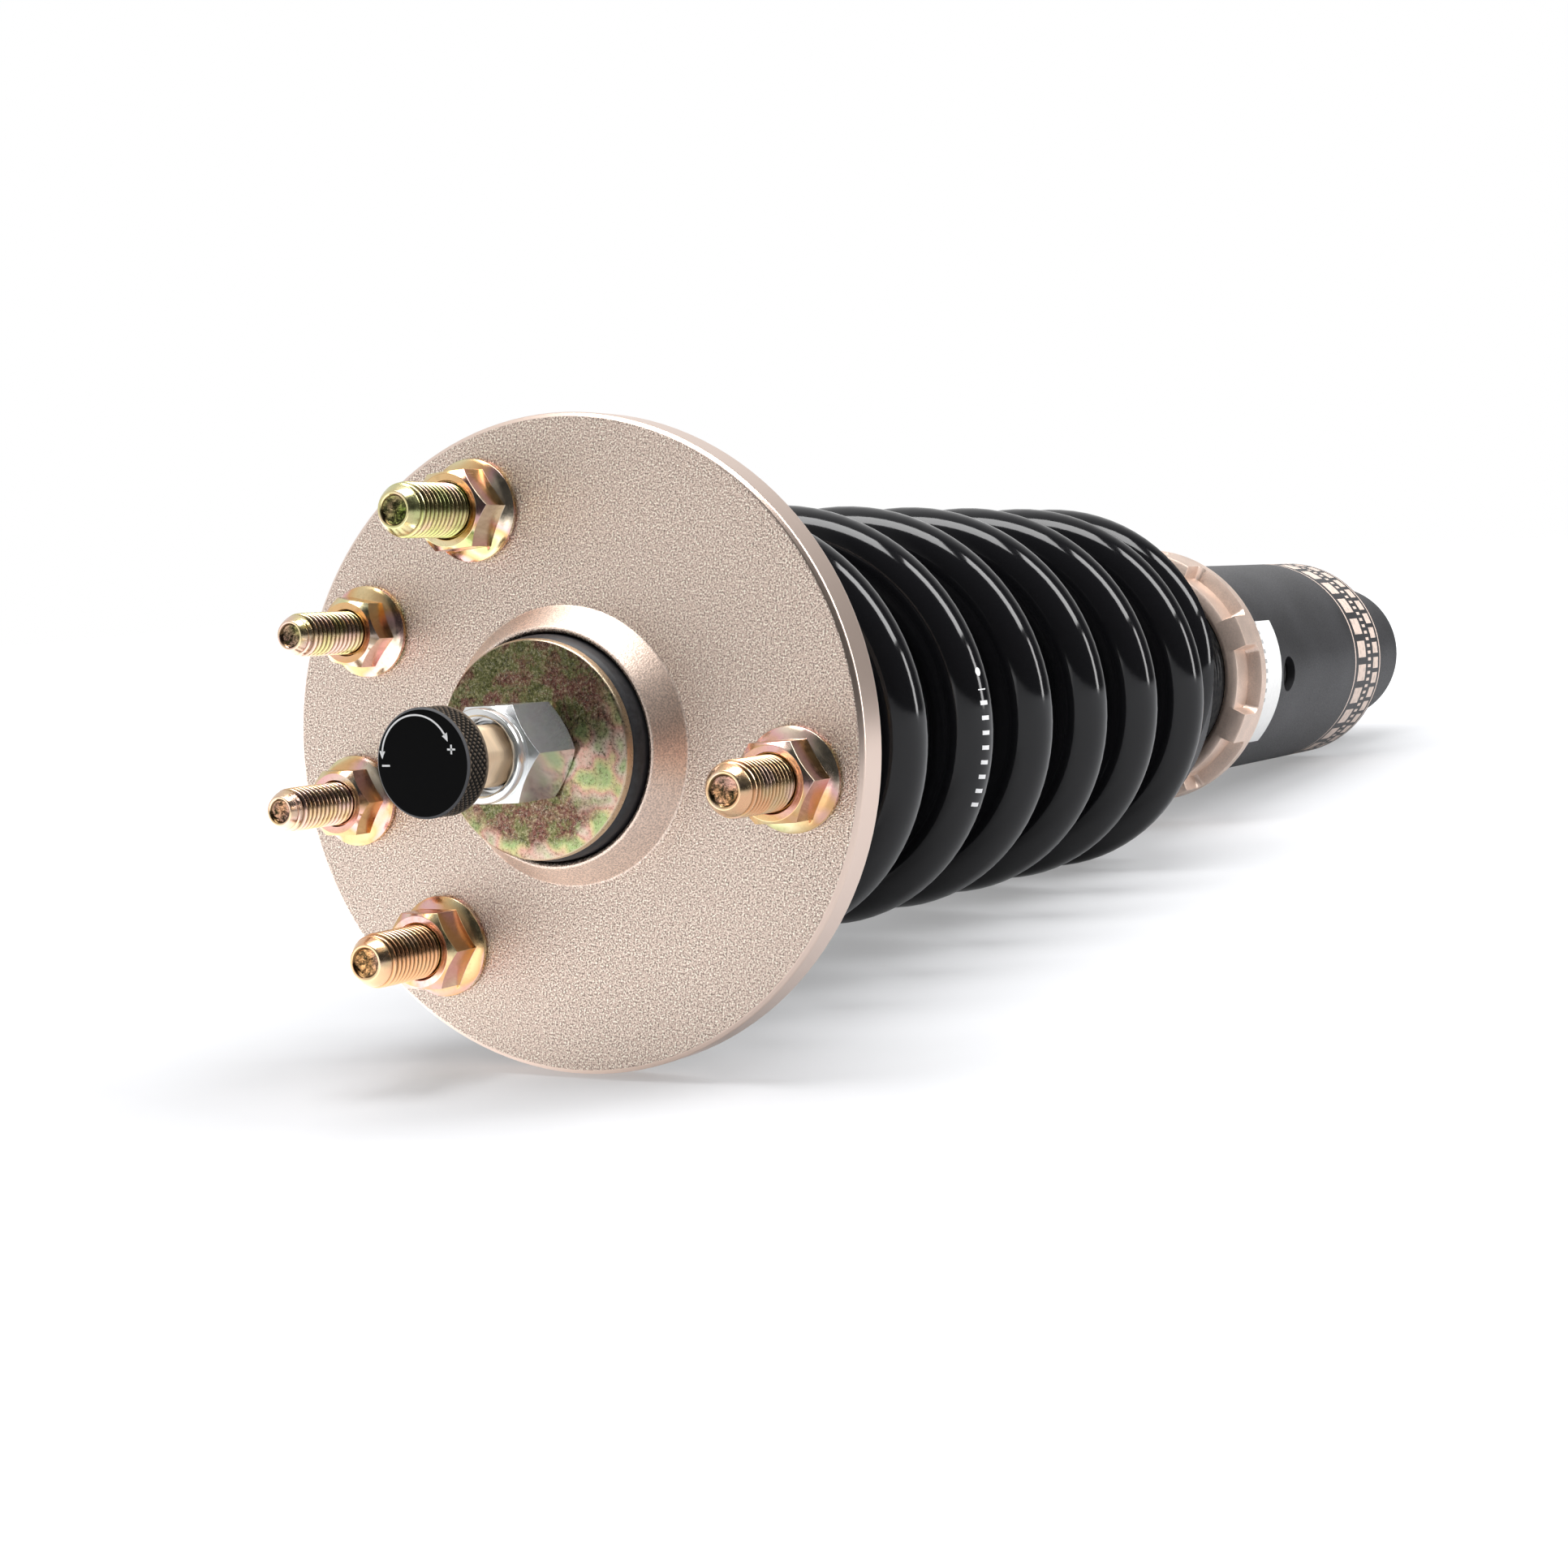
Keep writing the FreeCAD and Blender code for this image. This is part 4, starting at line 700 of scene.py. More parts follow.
@made_once
def olive_zinc():
    """Olive and maroon chromate on the big washer: fine specks, hair-thin scratches and a pale
    edge, with a painted pink, yellow and green sheen along one side of the rim and a painted
    reflection in a patch beside the nut."""
    f = Finish("olive_zinc", (0.2, 0.2, 0.08), Metallic=1.0)
    cloud = f.noise(0.15, 6, roughness=0.72, distortion=0.3)
    mottle = f.noise(1.9, 3, roughness=0.75)
    hue = f.tones(cloud, (0.36, (0.080, 0.085, 0.030)), (0.44, (0.14, 0.14, 0.055)),
                  (0.49, (0.15, 0.085, 0.052)), (0.58, (0.14, 0.048, 0.045)),
                  (0.66, (0.13, 0.14, 0.05)))
    dark = f.blend(f.spread(mottle, 0.32, 0.54, 0.86, 0), hue, (0.012, 0.010, 0.006))
    pale = f.blend(f.spread(mottle, 0.56, 0.72, 0, 0.8), dark, (0.46, 0.40, 0.25))
    radius = f.radius()
    ragged = f.noise(0.35, 3)
    frayed = f.sum("ADD", radius, f.sum("MULTIPLY", ragged, 5.0))
    # painted sheen along one side of the rim, and a painted reflection in a patch beside the nut
    sheen_side = f.spread(f.toward((-0.72, -0.69, 0.0)), -2.0, 9.0, 0.0, 0.62)
    sheen_band = f.sum("MULTIPLY", f.spread(frayed, *WASHER_SHEEN_BAND), sheen_side)
    off = f.sum("ADD", f.away(WASHER_REFLECTION), f.sum("MULTIPLY", ragged, 6.0))
    reflection_patch = f.spread(off, 7.0, 12.0, 0.75, 0.0)
    sheen = f.tones(f.noise(0.17, 1), (0.36, (0.34, 0.46, 0.20)), (0.43, (0.62, 0.56, 0.28)),
                    (0.50, (0.66, 0.36, 0.30)), (0.58, (0.66, 0.54, 0.44)),
                    (0.66, (0.36, 0.50, 0.24)))
    specked = f.blend(f.spread(mottle, 0.36, 0.50, 0.6, 0), sheen, (0.12, 0.10, 0.04))
    painted_sheen_colour = f.blend(f.sum("MAXIMUM", sheen_band, reflection_patch), pale, specked)
    hairs = f.sum("MAXIMUM",
                  f.between(f.noise(0.22, 3, f.stretched(1.5, 0.9, 1), 0.6, 3.2), 0.495, 0.503),
                  f.between(f.noise(0.20, 3, f.stretched(0.8, 1.6, 1), 0.6, 3.6), 0.516, 0.523))
    wear_and_highlight = f.blend(f.sum("MULTIPLY", hairs, 0.6), painted_sheen_colour, (0.56, 0.52, 0.40))
    edge = f.spread(radius, *WASHER_EDGE)
    f.feed("Base Color", f.blend(f.sum("MULTIPLY", edge, 0.8), wear_and_highlight, (0.80, 0.64, 0.46)))
    f.rough(mottle, 0.22, 0.42)
    f.bump(mottle, 0.25, 0.08 * MM)
    return f.material


@made_once
def clear_zinc():
    """Clear bright zinc: silver, faintly blue and yellow by patches, with small dents."""
    tone = colours().silver
    f = Finish("clear_zinc", tone, Metallic=0.82)
    film = zinc_film(f, 0.10)
    f.feed("Base Color", f.tones(film, (0.0, shade(tone, 0.92)), (0.5, tone),
                                 (0.8, (0.80, 0.83, 0.80)), (1.0, (0.80, 0.74, 0.66))))
    f.rough(f.noise(0.8, 3), 0.10, 0.24, 0.75)
    f.bump(f.noise(0.5, 1), 0.06, 0.12 * MM)
    return f.material


def plain_metal(name, tone, low, high, along=(0.4, 0.4, 5.0)):
    """A bare or plated metal with fine marks that run round the strut."""
    f = Finish(name, tone, Metallic=1.0)
    marks = f.noise(1.0, 4, f.stretched(*along))
    cloud = f.noise(0.15, 2)
    base = f.mottled(marks, tone, 0.88, 1.08)
    f.feed("Base Color", f.blend(f.spread(cloud, 0.35, 0.7, 0, 0.3), base, shade(tone, 0.82)))
    f.rough(marks, low, high)
    f.bump(marks, 0.08, 0.05 * MM)
    return f.material


@made_once
def plain_aluminium():
    """Turned aluminium inside the damper."""
    return plain_metal("plain_aluminium", colours().aluminium, 0.26, 0.4)


@made_once
def bearing_steel():
    """Ground steel."""
    return plain_metal("bearing_steel", colours().steel, 0.12, 0.24, (2.0, 2.0, 2.0))


@made_once
def hard_chrome():
    """Ground and chromed rod."""
    return plain_metal("hard_chrome", shade(colours().silver, 0.92), 0.04, 0.09, (0.3, 0.3, 3.0))


@made_once
def brass():
    """Turned brass."""
    return plain_metal("brass", colours().brass, 0.2, 0.32)


@made_once
def black_steel():
    """Black oxide on steel, a little brown, lighter in soft patches at random."""
    f = Finish("black_steel", (0.03, 0.03, 0.032), Metallic=0.7)
    cloud = f.noise(0.5, 4)
    f.feed("Base Color", f.tones(cloud, (0.3, (0.016, 0.016, 0.018)), (0.75, (0.05, 0.048, 0.046))))
    f.rough(cloud, 0.28, 0.46)
    f.bump(f.noise(3.0, 2), 0.08, 0.05 * MM)
    return f.material


@made_once
def gloss_black_coat():
    """Gloss powder coat on the coil, slightly wavy, with a plain row of white marks and a dot."""
    c = colours()
    f = Finish("gloss_black_coat", c.coating, Roughness=0.1, Specular_IOR_Level=0.42)
    specks = f.spread(f.noise(1.6, 2, roughness=0.7), 0.80, 0.86)
    base = f.blend(f.sum("MULTIPLY", specks, 0.35), c.coating, DUST_GREY)
    wire = f.node("ShaderNodeUVMap", uv_map="wire").outputs[0]
    run, side = f.node("ShaderNodeSeparateXYZ", {0: wire}).outputs[:2]
    strip = f.between(side, MARK_SIDE - MARK_HALF, MARK_SIDE + MARK_HALF)
    row = f.between(run, MARK_START, MARK_END)
    step = f.sum("MODULO", f.sum("SUBTRACT", run, MARK_START), MARK_STEP)
    tick = f.between(step, 0.0, MARK_LONG)
    ticks = f.sum("MULTIPLY", f.sum("MULTIPLY", strip, row), tick)
    across = f.sum("SUBTRACT", run, MARK_END + DOT_AFTER)
    up = f.sum("SUBTRACT", side, MARK_SIDE)
    away = f.sum("ADD", f.sum("MULTIPLY", across, across), f.sum("MULTIPLY", up, up))
    marks = f.sum("MAXIMUM", ticks, f.sum("LESS_THAN", away, DOT_AREA))
    f.feed("Base Color", f.blend(marks, base, c.print_white))
    f.feed("Roughness", f.spread(marks, 0, 1, 0.10, 0.42))
    f.bump(f.noise(0.32, 2), 0.10, 0.12 * MM)
    return f.material


@made_once
def satin_black_coat():
    """Satin black bracket with pale etched lines, ticks and blocks round its lower end."""
    c = colours()
    f = Finish("satin_black_coat", c.anodised, Specular_IOR_Level=0.35)
    grain = f.noise(2.4, 3)
    base = f.mottled(f.noise(0.06, 3), c.anodised, 0.8, 1.7)
    height = f.split()[2]
    lines = f.sum("MAXIMUM", *[f.between(height, *line) for line in BAND_LINES])
    ticks = f.marks_round(90, (0.0, 0.45), BAND_TICKS)
    wide = f.marks_round(26, (0.10, 0.80), BAND_WIDE)
    narrow = f.marks_round(40, (0.12, 0.84), BAND_NARROW)
    blocks = f.sum("MAXIMUM", wide, narrow)
    wear_and_highlight = f.sum("MULTIPLY", blocks, f.spread(f.cells(0.55), 0.20, 0.50, 0.78, 1.0))
    etched = f.sum("MULTIPLY", f.sum("MAXIMUM", f.sum("MAXIMUM", lines, ticks), wear_and_highlight),
                   f.sum("GREATER_THAN", f.radius(), BRACKET_OUTSIDE))
    f.feed("Base Color", f.blend(f.sum("MULTIPLY", etched, 0.9), base, shade(c.champagne, 1.2)))
    f.rough(grain, 0.36, 0.48)
    f.bump(grain, 0.12, 0.06 * MM)
    return f.material


@made_once
def black_anodised():
    """Black anodised aluminium: satin, with fine turning marks."""
    c = colours()
    f = Finish("black_anodised", c.anodised, Specular_IOR_Level=0.3)
    marks = f.noise(1.0, 3, f.stretched(0.3, 0.3, 6))
    f.feed("Base Color", f.mottled(marks, c.anodised, 0.75, 1.35))
    f.rough(marks, 0.30, 0.42)
    f.bump(f.noise(3.0, 2), 0.10, 0.05 * MM)
    return f.material


@made_once
def knob_black():
    """Black anodised knob: flat dark face, thin bright edge, and a brown painted highlight on the
    knurl's crests.
    """
    f = Finish("knob_black", NEAR_BLACK, Specular_IOR_Level=0.04)
    grain = f.noise(5.0, 2)
    radius = f.radius()
    height = f.split()[2]
    crest = f.sum("GREATER_THAN", radius, CREST_RADIUS)
    # painted highlight: the knurl's crests are painted brown
    wear_and_highlight = f.sum("MULTIPLY", f.spread(f.depth(), 0.05, 0.26, 1, 0), crest)
    knurled = f.sum("MULTIPLY", f.sum("LESS_THAN", height, KNURL_TOP),
                    f.sum("GREATER_THAN", radius, KNURL_RADIUS))
    edge = f.sum("MULTIPLY", f.between(radius, *KNOB_EDGE_RADII),
                 f.between(height, *KNOB_EDGE_HEIGHTS))
    side = f.blend(wear_and_highlight, (0.012, 0.011, 0.010), (0.135, 0.105, 0.080))
    plain = f.blend(edge, NEAR_BLACK, (0.10, 0.10, 0.105))
    f.feed("Base Color", f.blend(knurled, plain, side))
    f.rough(grain, 0.30, 0.40)
    f.bump(grain, 0.10, 0.04 * MM)
    return f.material


@made_once
def black_rubber():
    """Moulded rubber: satin black with grey dust."""
    tone = colours().rubber
    f = Finish("black_rubber", tone)
    dust = f.noise(1.1, 5, roughness=0.75)
    f.feed("Base Color", f.tones(dust, (0.4, tone), (0.72, shade(tone, 2.2)),
                                 (0.82, (0.16, 0.16, 0.15))))
    f.rough(dust, 0.40, 0.58)
    f.bump(f.noise(2.2, 3), 0.22, 0.08 * MM)
    return f.material


@made_once
def foam():
    """Microcellular foam: cream with open pores."""
    tone = colours().foam
    f = Finish("foam", tone, Roughness=0.85)
    pores = f.cells(1.3)
    f.feed("Base Color", f.tones(pores, (0.0, shade(tone, 0.45)), (0.35, tone),
                                 (1.0, shade(tone, 1.08))))
    f.bump(pores, 0.6, 0.2 * MM)
    return f.material


@made_once
def seal_plastic():
    """Filled plastic: dark, with fine flow lines."""
    c = colours()
    f = Finish("seal_plastic", c.plastic)
    flow = f.noise(0.6, 4, distortion=1.5)
    f.feed("Base Color", f.mottled(flow, c.plastic, 0.7, 1.3))
    f.rough(flow, 0.38, 0.55)
    f.bump(flow, 0.1, 0.06 * MM)
    return f.material


@made_once
def paper():
    """White label paper with faint fibres and a plain row of grey ticks."""
    c = colours()
    f = Finish("paper", c.paper, Roughness=0.55)
    fibres = f.noise(1.0, 4, f.stretched(0.8, 0.8, 3.0))
    base = f.mottled(fibres, c.paper, 0.94, 1.05)
    ticks = f.marks_round(11 * TURN, (0.0, 0.42), LABEL_TICKS)
    f.feed("Base Color", f.blend(f.sum("MULTIPLY", ticks, 0.6), base, (0.10, 0.10, 0.11)))
    f.bump(fibres, 0.12, 0.03 * MM)
    return f.material


@made_once
def white_print():
    """White ink, slightly uneven."""
    c = colours()
    f = Finish("white_print", c.print_white, Roughness=0.5)
    ink = f.noise(3.0, 3)
    f.feed("Base Color", f.mottled(ink, c.print_white, 0.88, 1.0))
    return f.material


# Pieces

def keep_depth(mesh, spots, outline, top):
    """Store how far each point lies under an outline, in millimetres, measured from the nearest
    spot: depth = outline(height) - distance, and 0 above the top. The finishes paint shade into
    a groove and a highlight onto a crest by it."""
    points = points_of(mesh)
    flat = points[:, None, :2] - np.asarray(spots, float)[None]
    away = np.linalg.norm(flat, axis=2).min(axis=1)
    height = points[:, 2]
    depth = np.where(height > top, 0, outline(height) - away) / MM
    layer = mesh.attributes.new("depth", "FLOAT", "POINT")
    layer.data.foreach_set("value", depth.astype(np.float32))


STUD_SEED = 40
STUD_APART = 17 * MM  # points of one stud lie closer than this
STUD_COLUMNS = 72
STUD_ROWS = 12  # rows of points in one turn of the thread
STUD_HEAD = 2.5 * MM  # how far the pressed head stands out
STUD_HEAD_TALL = 2.4 * MM
STUD_SHANK = 0.4 * MM  # how much wider the plain shank is than the thread
STUD_RUN_OUT = -0.2 * MM  # height at which the shank ends
STUD_SWELL = 0.8 * MM  # height over which a stud swells to its full radius
STUD_POINT = 3.4 * MM  # length over which it narrows at its end
STUD_NARROWING = 0.34  # share of its radius that it loses there
CUP_DEPTH = 0.75 * MM
CUP_LOBES = 0.24 * MM  # height of the slow waves in the cup
CUP_GRIT = 0.04 * MM  # height of its fine roughness
CUP_RINGS = 16


def stud_outline(height, radius, run_in, tip):
    """Radius of a stud before its thread is cut: root + thread * swell - narrowing * radius *
    share ** 1.6. Swell goes from 0 to 1 above the nut, and share from 0 to 1 over the point."""
    root = radius - sizes().stud_thread
    swell = smoothstep((height - run_in) / STUD_SWELL)
    share = np.clip(1 - (tip - height) / STUD_POINT, 0, 1)
    return root + (radius - root) * swell - STUD_NARROWING * radius * share ** 1.6


def stud_surface(name, spot, radius, run_in, tip, seed):
    """A pressed stud: a turned profile whose free length carries a thread, radius = full - depth *
    wave. Its end is a rough shallow cup, height = tip + hollow * (waves - cup depth) + grit."""
    s = sizes()
    foot = level("top_plate", 0)
    head, shank, root = radius + STUD_HEAD, radius + STUD_SHANK, radius - s.stud_thread
    below = rounded([
        (0, foot), (head, foot), (head, foot + STUD_HEAD_TALL), (shank, foot + STUD_HEAD_TALL),
        (shank, STUD_RUN_OUT), (root, STUD_RUN_OUT), (root, run_in),
    ], 0.25 * MM, 3, closed=False)
    rows = int((tip - run_in) / s.stud_pitch * STUD_ROWS)
    rise = np.linspace(run_in, tip, rows + 1)[1:]
    angle = np.linspace(0, TURN, STUD_COLUMNS, endpoint=False)
    wave = helical_wave(rise[:, None], angle, s.stud_pitch)
    outline = stud_outline(rise, radius, run_in, tip)[:, None]
    thread = np.minimum(outline, radius - s.stud_thread * wave)
    rng = np.random.default_rng(seed)
    inward = np.linspace(0.95, 0.05, CUP_RINGS)[:, None]
    lobes = sum(
        rng.uniform(0.3, 1) * np.cos(k * angle + rng.uniform(0, TURN)) / k for k in range(1, 9)
    )
    hollow = smoothstep((0.86 - inward) / 0.18)
    cup = hollow * (-CUP_DEPTH + CUP_LOBES * lobes * (1 - inward) * inward * 4)
    grit = rng.normal(0, CUP_GRIT, (CUP_RINGS, STUD_COLUMNS)) * (inward < 0.72)
    end = np.minimum(tip, tip + cup + grit)
    grid = stacked(angle, below[1:].T, (thread, rise), (thread[-1:] * inward, end), middle=spot)
    return ring_surface(name, grid, [*spot, foot], [*spot, tip - CUP_DEPTH])


def joined(name, meshes):
    """Several meshes as one."""
    work = bmesh.new()
    for mesh in meshes:
        work.from_mesh(mesh)
        bpy.data.meshes.remove(mesh)
    whole = bpy.data.meshes.new(name)
    work.to_mesh(whole)
    work.free()
    whole.shade_smooth()
    return whole


def islands(node):
    """Middles of a CAD node's separate solids, found on the XY plane by their distance."""
    left = points_of(frame["nodes"][node].data)[:, :2]
    found = []
    while len(left):
        near = np.linalg.norm(left - left[0], axis=1) < STUD_APART
        group = left[near]
        found.append((group.min(axis=0) + group.max(axis=0)) / 2)
        left = left[~near]
    return found


def studs():
    """The pressed studs, one piece for each size."""
    for node, nuts, radius in (("large_studs", "large_flange_nuts", 5 * MM),
                               ("small_studs", "small_flange_nuts", 4 * MM)):
        run_in = level(nuts, 1) - 0.9 * MM
        tip = level(node, 1)
        spots = islands(node)
        made = [stud_surface(node, spot, radius, run_in, tip, STUD_SEED + count)
                for count, spot in enumerate(spots)]
        mesh = joined(node + "_threaded", made)
        keep_depth(mesh, spots, lambda height: stud_outline(height, radius, run_in, tip),
                   tip - 0.05 * MM)
        stand_in("threaded_" + node, mesh, zinc_thread(), "top_mount", node)


KNURL_COLUMNS = 8  # columns of points to a knurl line
KNURL_ROWS = 45
KNURL_MARGIN = 0.45 * MM  # plain part above and below the knurl
KNURL_FADE = 0.8 * MM
SCREW_HOLE = 1.55 * MM
SCREW_LAND = 2.0 * MM  # radius of the plain patch round the hole
SCREW_FLOOR = 7.0 * MM  # distance of the hole's floor from the axis


def knob_surface():
    """The knob: a profile turned about the axis, whose outside carries a diamond knurl: two
    crossing helical waves, radius = full - depth * the deeper wave ** 1.6, fading out near both
    ends. The grub screw's hole is a pit in it."""
    s = sizes()
    radius, bore = reach("adjuster_knob"), reach("adjuster_spindle")
    foot, top = heights("adjuster_knob")
    top -= 0.05 * MM
    side = radius - 0.03 * MM
    columns = s.knurl_count * KNURL_COLUMNS
    angle = np.linspace(0, TURN, columns, endpoint=False)
    rise = np.linspace(foot + KNURL_MARGIN, top - KNURL_MARGIN, KNURL_ROWS)
    pitch = TURN / s.knurl_count
    climb = (rise[:, None] - foot) / (pitch * radius)
    turns = angle / pitch
    waves = [np.abs(2 * (phase % 1) - 1) for phase in (turns + climb, turns - climb)]
    groove = np.maximum(*waves) ** 1.6
    fade = smoothstep(np.minimum(rise - foot, top - rise) / KNURL_FADE - 0.45)[:, None]
    skin = side - s.knurl_depth * groove * fade
    screw = np.array(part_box("knob_grub_screw")).mean(axis=0)
    across = radius * np.angle(np.exp(1j * (angle - math.atan2(screw[1], screw[0]))))
    away = np.hypot(across, rise[:, None] - screw[2])
    skin = np.where(away < SCREW_LAND, radius - 0.1 * MM, skin)
    skin = np.where(away < SCREW_HOLE, SCREW_FLOOR, skin)
    ceiling = top - 1.2 * MM
    under = rounded([
        (0, ceiling), (bore, ceiling), (bore, foot), (radius - 0.3 * MM, foot),
        (side, foot + 0.3 * MM),
    ], 0.1 * MM, 3, closed=False)
    over = rounded([
        (side, top - 0.42 * MM), (side, top - 0.35 * MM), (radius - 0.38 * MM, top),
        (radius - 1.0 * MM, top), (0, top),
    ], 0.12 * MM, 4, closed=False)
    inner = np.linspace(over[-2, 0], 0.5 * MM, 6)[1:]
    face = inner, np.full(len(inner), top)
    grid = stacked(angle, under[1:].T, (skin, rise), over[:-1].T, face)
    mesh = ring_surface("knurled_knob", grid, [0, 0, under[0, 1]], [0, 0, top], sharp=50)
    keep_depth(mesh, [(0, 0)], lambda height: radius, top - 0.1 * MM)
    return mesh


def ribbon(name, path, width, foot, top):
    """A flat bar along a path on the knob's face: edge = path +- width / 2 * the direction across
    it. Its section is a rectangle from foot to top."""
    path = np.asarray(path, float)
    way = np.gradient(path, axis=0)
    way /= np.linalg.norm(way, axis=1)[:, None]
    half = np.stack([-way[:, 1], way[:, 0]], axis=1) * np.reshape(width, (-1, 1)) / 2
    left, right = path + half, path - half
    rings = np.stack([
        np.column_stack([edge, np.full(len(path), height)])
        for edge, height in ((right, top), (left, top), (left, foot), (right, foot))
    ], axis=1)
    return ring_surface(name, rings, rings[0].mean(axis=0), rings[-1].mean(axis=0), sharp=30)


ARC_MIDDLE = np.array([0.99, 1.36]) * MM
ARC_RADIUS = 6.95 * MM
ARC_ENDS = (math.radians(-52), math.radians(91))
MINUS = np.array([-1.35, 7.35]) * MM
PLUS = np.array([3.05, -5.6]) * MM
MARK_RIGHT = np.array([0.13, -0.99])
MARK_UP = np.array([0.99, 0.13])


def arc(start, end, count):
    """Points along the arc: middle + radius (cos a, sin a)."""
    turn = np.linspace(start, end, count)
    return ARC_MIDDLE + ARC_RADIUS * np.column_stack([np.cos(turn), np.sin(turn)])


def knob_marks():
    """A thin double-headed arc, a minus and a plus, raised a hair above the knob's face."""
    top = level("adjuster_knob", 1) - 0.01 * MM
    foot = top - 0.08 * MM
    start, end = ARC_ENDS
    made = [ribbon("arc", arc(start, end, 60), 0.30 * MM, foot, top)]
    for angle, way in ((start, -1), (end, 1)):
        head = arc(angle - way * 0.02, angle + way * 0.17, 8)
        made.append(ribbon("arrow", head, np.linspace(1.15, 0.03, 8) * MM, foot, top))
    bar = np.linspace(-0.8, 0.8, 4)[:, None] * MM
    for spot, ways in ((MINUS, [MARK_RIGHT]), (PLUS, [MARK_RIGHT, MARK_UP])):
        made += [ribbon("bar", spot + bar * way, 0.32 * MM, foot, top) for way in ways]
    piece("knob_marks", joined("knob_marks", made), white_print(), "knob")


COIL_RINGS = 84  # rings of points to a turn
COIL_COLUMNS = 33
COIL_CLOSED = 0.88  # turns at each end that rise slowly
COIL_EASE = 0.24  # turns over which the rise changes
COIL_TUCK = 4.4 * MM
COIL_TUCK_TURN = 0.2


def coil_surface():
    """The coil: an ellipse of points carried along a helix whose rise is slow in the closed end
    turns. Each section keeps only the part inside the two ground faces, so its ring runs over an
    arc and a chord. The lower end's outside is tapered: out = out - tuck * out / wire, and tuck
    falls to 0."""
    s = sizes()
    foot, top = heights("coil_spring")
    wire = s.wire_radius
    path_radius = reach("coil_spring") - wire
    turns = s.active_turns + 2
    end_rise = 2 * wire * 1.02
    inset = wire / 2
    total = top - foot + 2 * inset
    active_rise = (total - 2 * end_rise) / s.active_turns
    turn = np.linspace(0, turns, int(turns * COIL_RINGS) + 1)
    blend = (smoothstep((turn - COIL_CLOSED) / COIL_EASE)
             * smoothstep((turns - COIL_CLOSED - turn) / COIL_EASE))
    slope = end_rise + (active_rise - end_rise) * blend
    rise = np.concatenate([[0], np.cumsum((slope[1:] + slope[:-1]) / 2 * np.diff(turn))])
    centre = foot - inset + rise * total / rise[-1]
    azimuth = s.tip_angle + TURN * turn
    half = wire / np.cos(np.arctan(slope / (TURN * path_radius)))
    low_cut = np.arccos(np.clip((centre - foot) / half, -1, 1))
    high_cut = np.arccos(np.clip((top - centre) / half, -1, 1))
    cut = np.where(turn < turns / 2, low_cut, high_cut)
    seam = -math.pi / 2 + math.pi * smoothstep((turn / turns - 0.3) / 0.4)
    share = np.linspace(0, 1, COIL_COLUMNS)
    section = (seam + cut)[:, None] + (TURN - 2 * cut[:, None]) * share
    out = wire * np.cos(section)
    tuck = COIL_TUCK * smoothstep(1 - turn / COIL_TUCK_TURN)[:, None]
    out -= tuck * np.maximum(out, 0) / wire
    up = half[:, None] * np.sin(section)
    height = np.clip(centre[:, None] + up, foot, top)
    grid = around(path_radius + out, azimuth[:, None], height)
    ends = grid[0].mean(axis=0), grid[-1].mean(axis=0)
    mesh = ring_surface("coil_spring_wire", grid, *ends, sharp=50)
    map_wire(mesh, turn, centre, path_radius)
    return mesh


def map_wire(mesh, turn, centre, path_radius):
    """Lay a UV on the coil in millimetres: u = turns * length of a turn, v = tilt * wire radius.
    A point's turn is the one in its direction where the wire's middle is nearest in height."""
    s = sizes()
    points = points_of(mesh)
    base = (np.arctan2(points[:, 1], points[:, 0]) - s.tip_angle) / TURN % 1
    candidates = base[:, None] + np.arange(-1, int(turn[-1]) + 2)
    levels = np.interp(candidates, turn, centre)
    nearest = np.argmin(np.abs(levels - points[:, 2:]), axis=1)
    best = np.arange(len(points)), nearest
    flat = np.hypot(points[:, 0], points[:, 1])
    tilt = np.arctan2(points[:, 2] - levels[best], flat - path_radius)
    run = candidates[best] * TURN * path_radius / MM
    side = tilt * s.wire_radius / MM
    corners = corners_of(mesh)
    layer = mesh.uv_layers.new(name="wire")
    uv = np.column_stack([run[corners], side[corners]])
    layer.data.foreach_set("uv", uv.astype(np.float32).ravel())


def coil():
    """The coil, riding on the upper seat."""
    thing = stand_in("coil_wire", coil_surface(), gloss_black_coat(), "upper_seat", "coil_spring")
    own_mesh(thing)


def cushions():
    """The rubber rings of the rod mount: turned profiles that are widest next to the plate."""
    for node, up, waist in (("upper_cushion", 1, 19 * MM), ("lower_cushion", -1, 18.5 * MM)):
        base, end = heights(node)[::up]
        bore, outer = 8.5 * MM, reach(node)
        profile = [(bore, base), (outer, base), (outer, end - up * 2.4 * MM),
                   (outer - 0.4 * MM, end - up * 1.0 * MM), (waist, end), (bore, end)][::up]
        mesh = turned(node + "_rubber", rounded(profile, 0.5 * MM, 5), 160)
        stand_in(node + "_rubber", mesh, black_rubber(), "top_mount", node)


def bump_stop():
    """A foam stop with soft waists: its profile's corners are wide parabolas."""
    foot, top = heights("bump_stop")
    bore, full, waist = 11 * MM, reach("bump_stop"), 15.5 * MM
    outside = [(full, 0), (full, 0.24), (waist, 0.33), (full - MM, 0.42), (full - MM, 0.58),
               (waist, 0.67), (full - 2 * MM, 0.76), (full - 2 * MM, 0.88), (waist - MM, 1)]
    wall = [(radius, top - (top - foot) * share) for radius, share in outside[::-1]]
    profile = rounded([(bore, top), (bore, foot), *wall], 1.2 * MM, 6)
    mesh = turned("bump_stop_foam", profile, 96)
    stand_in("bump_stop_foam", mesh, foam(), "top_mount", "bump_stop")


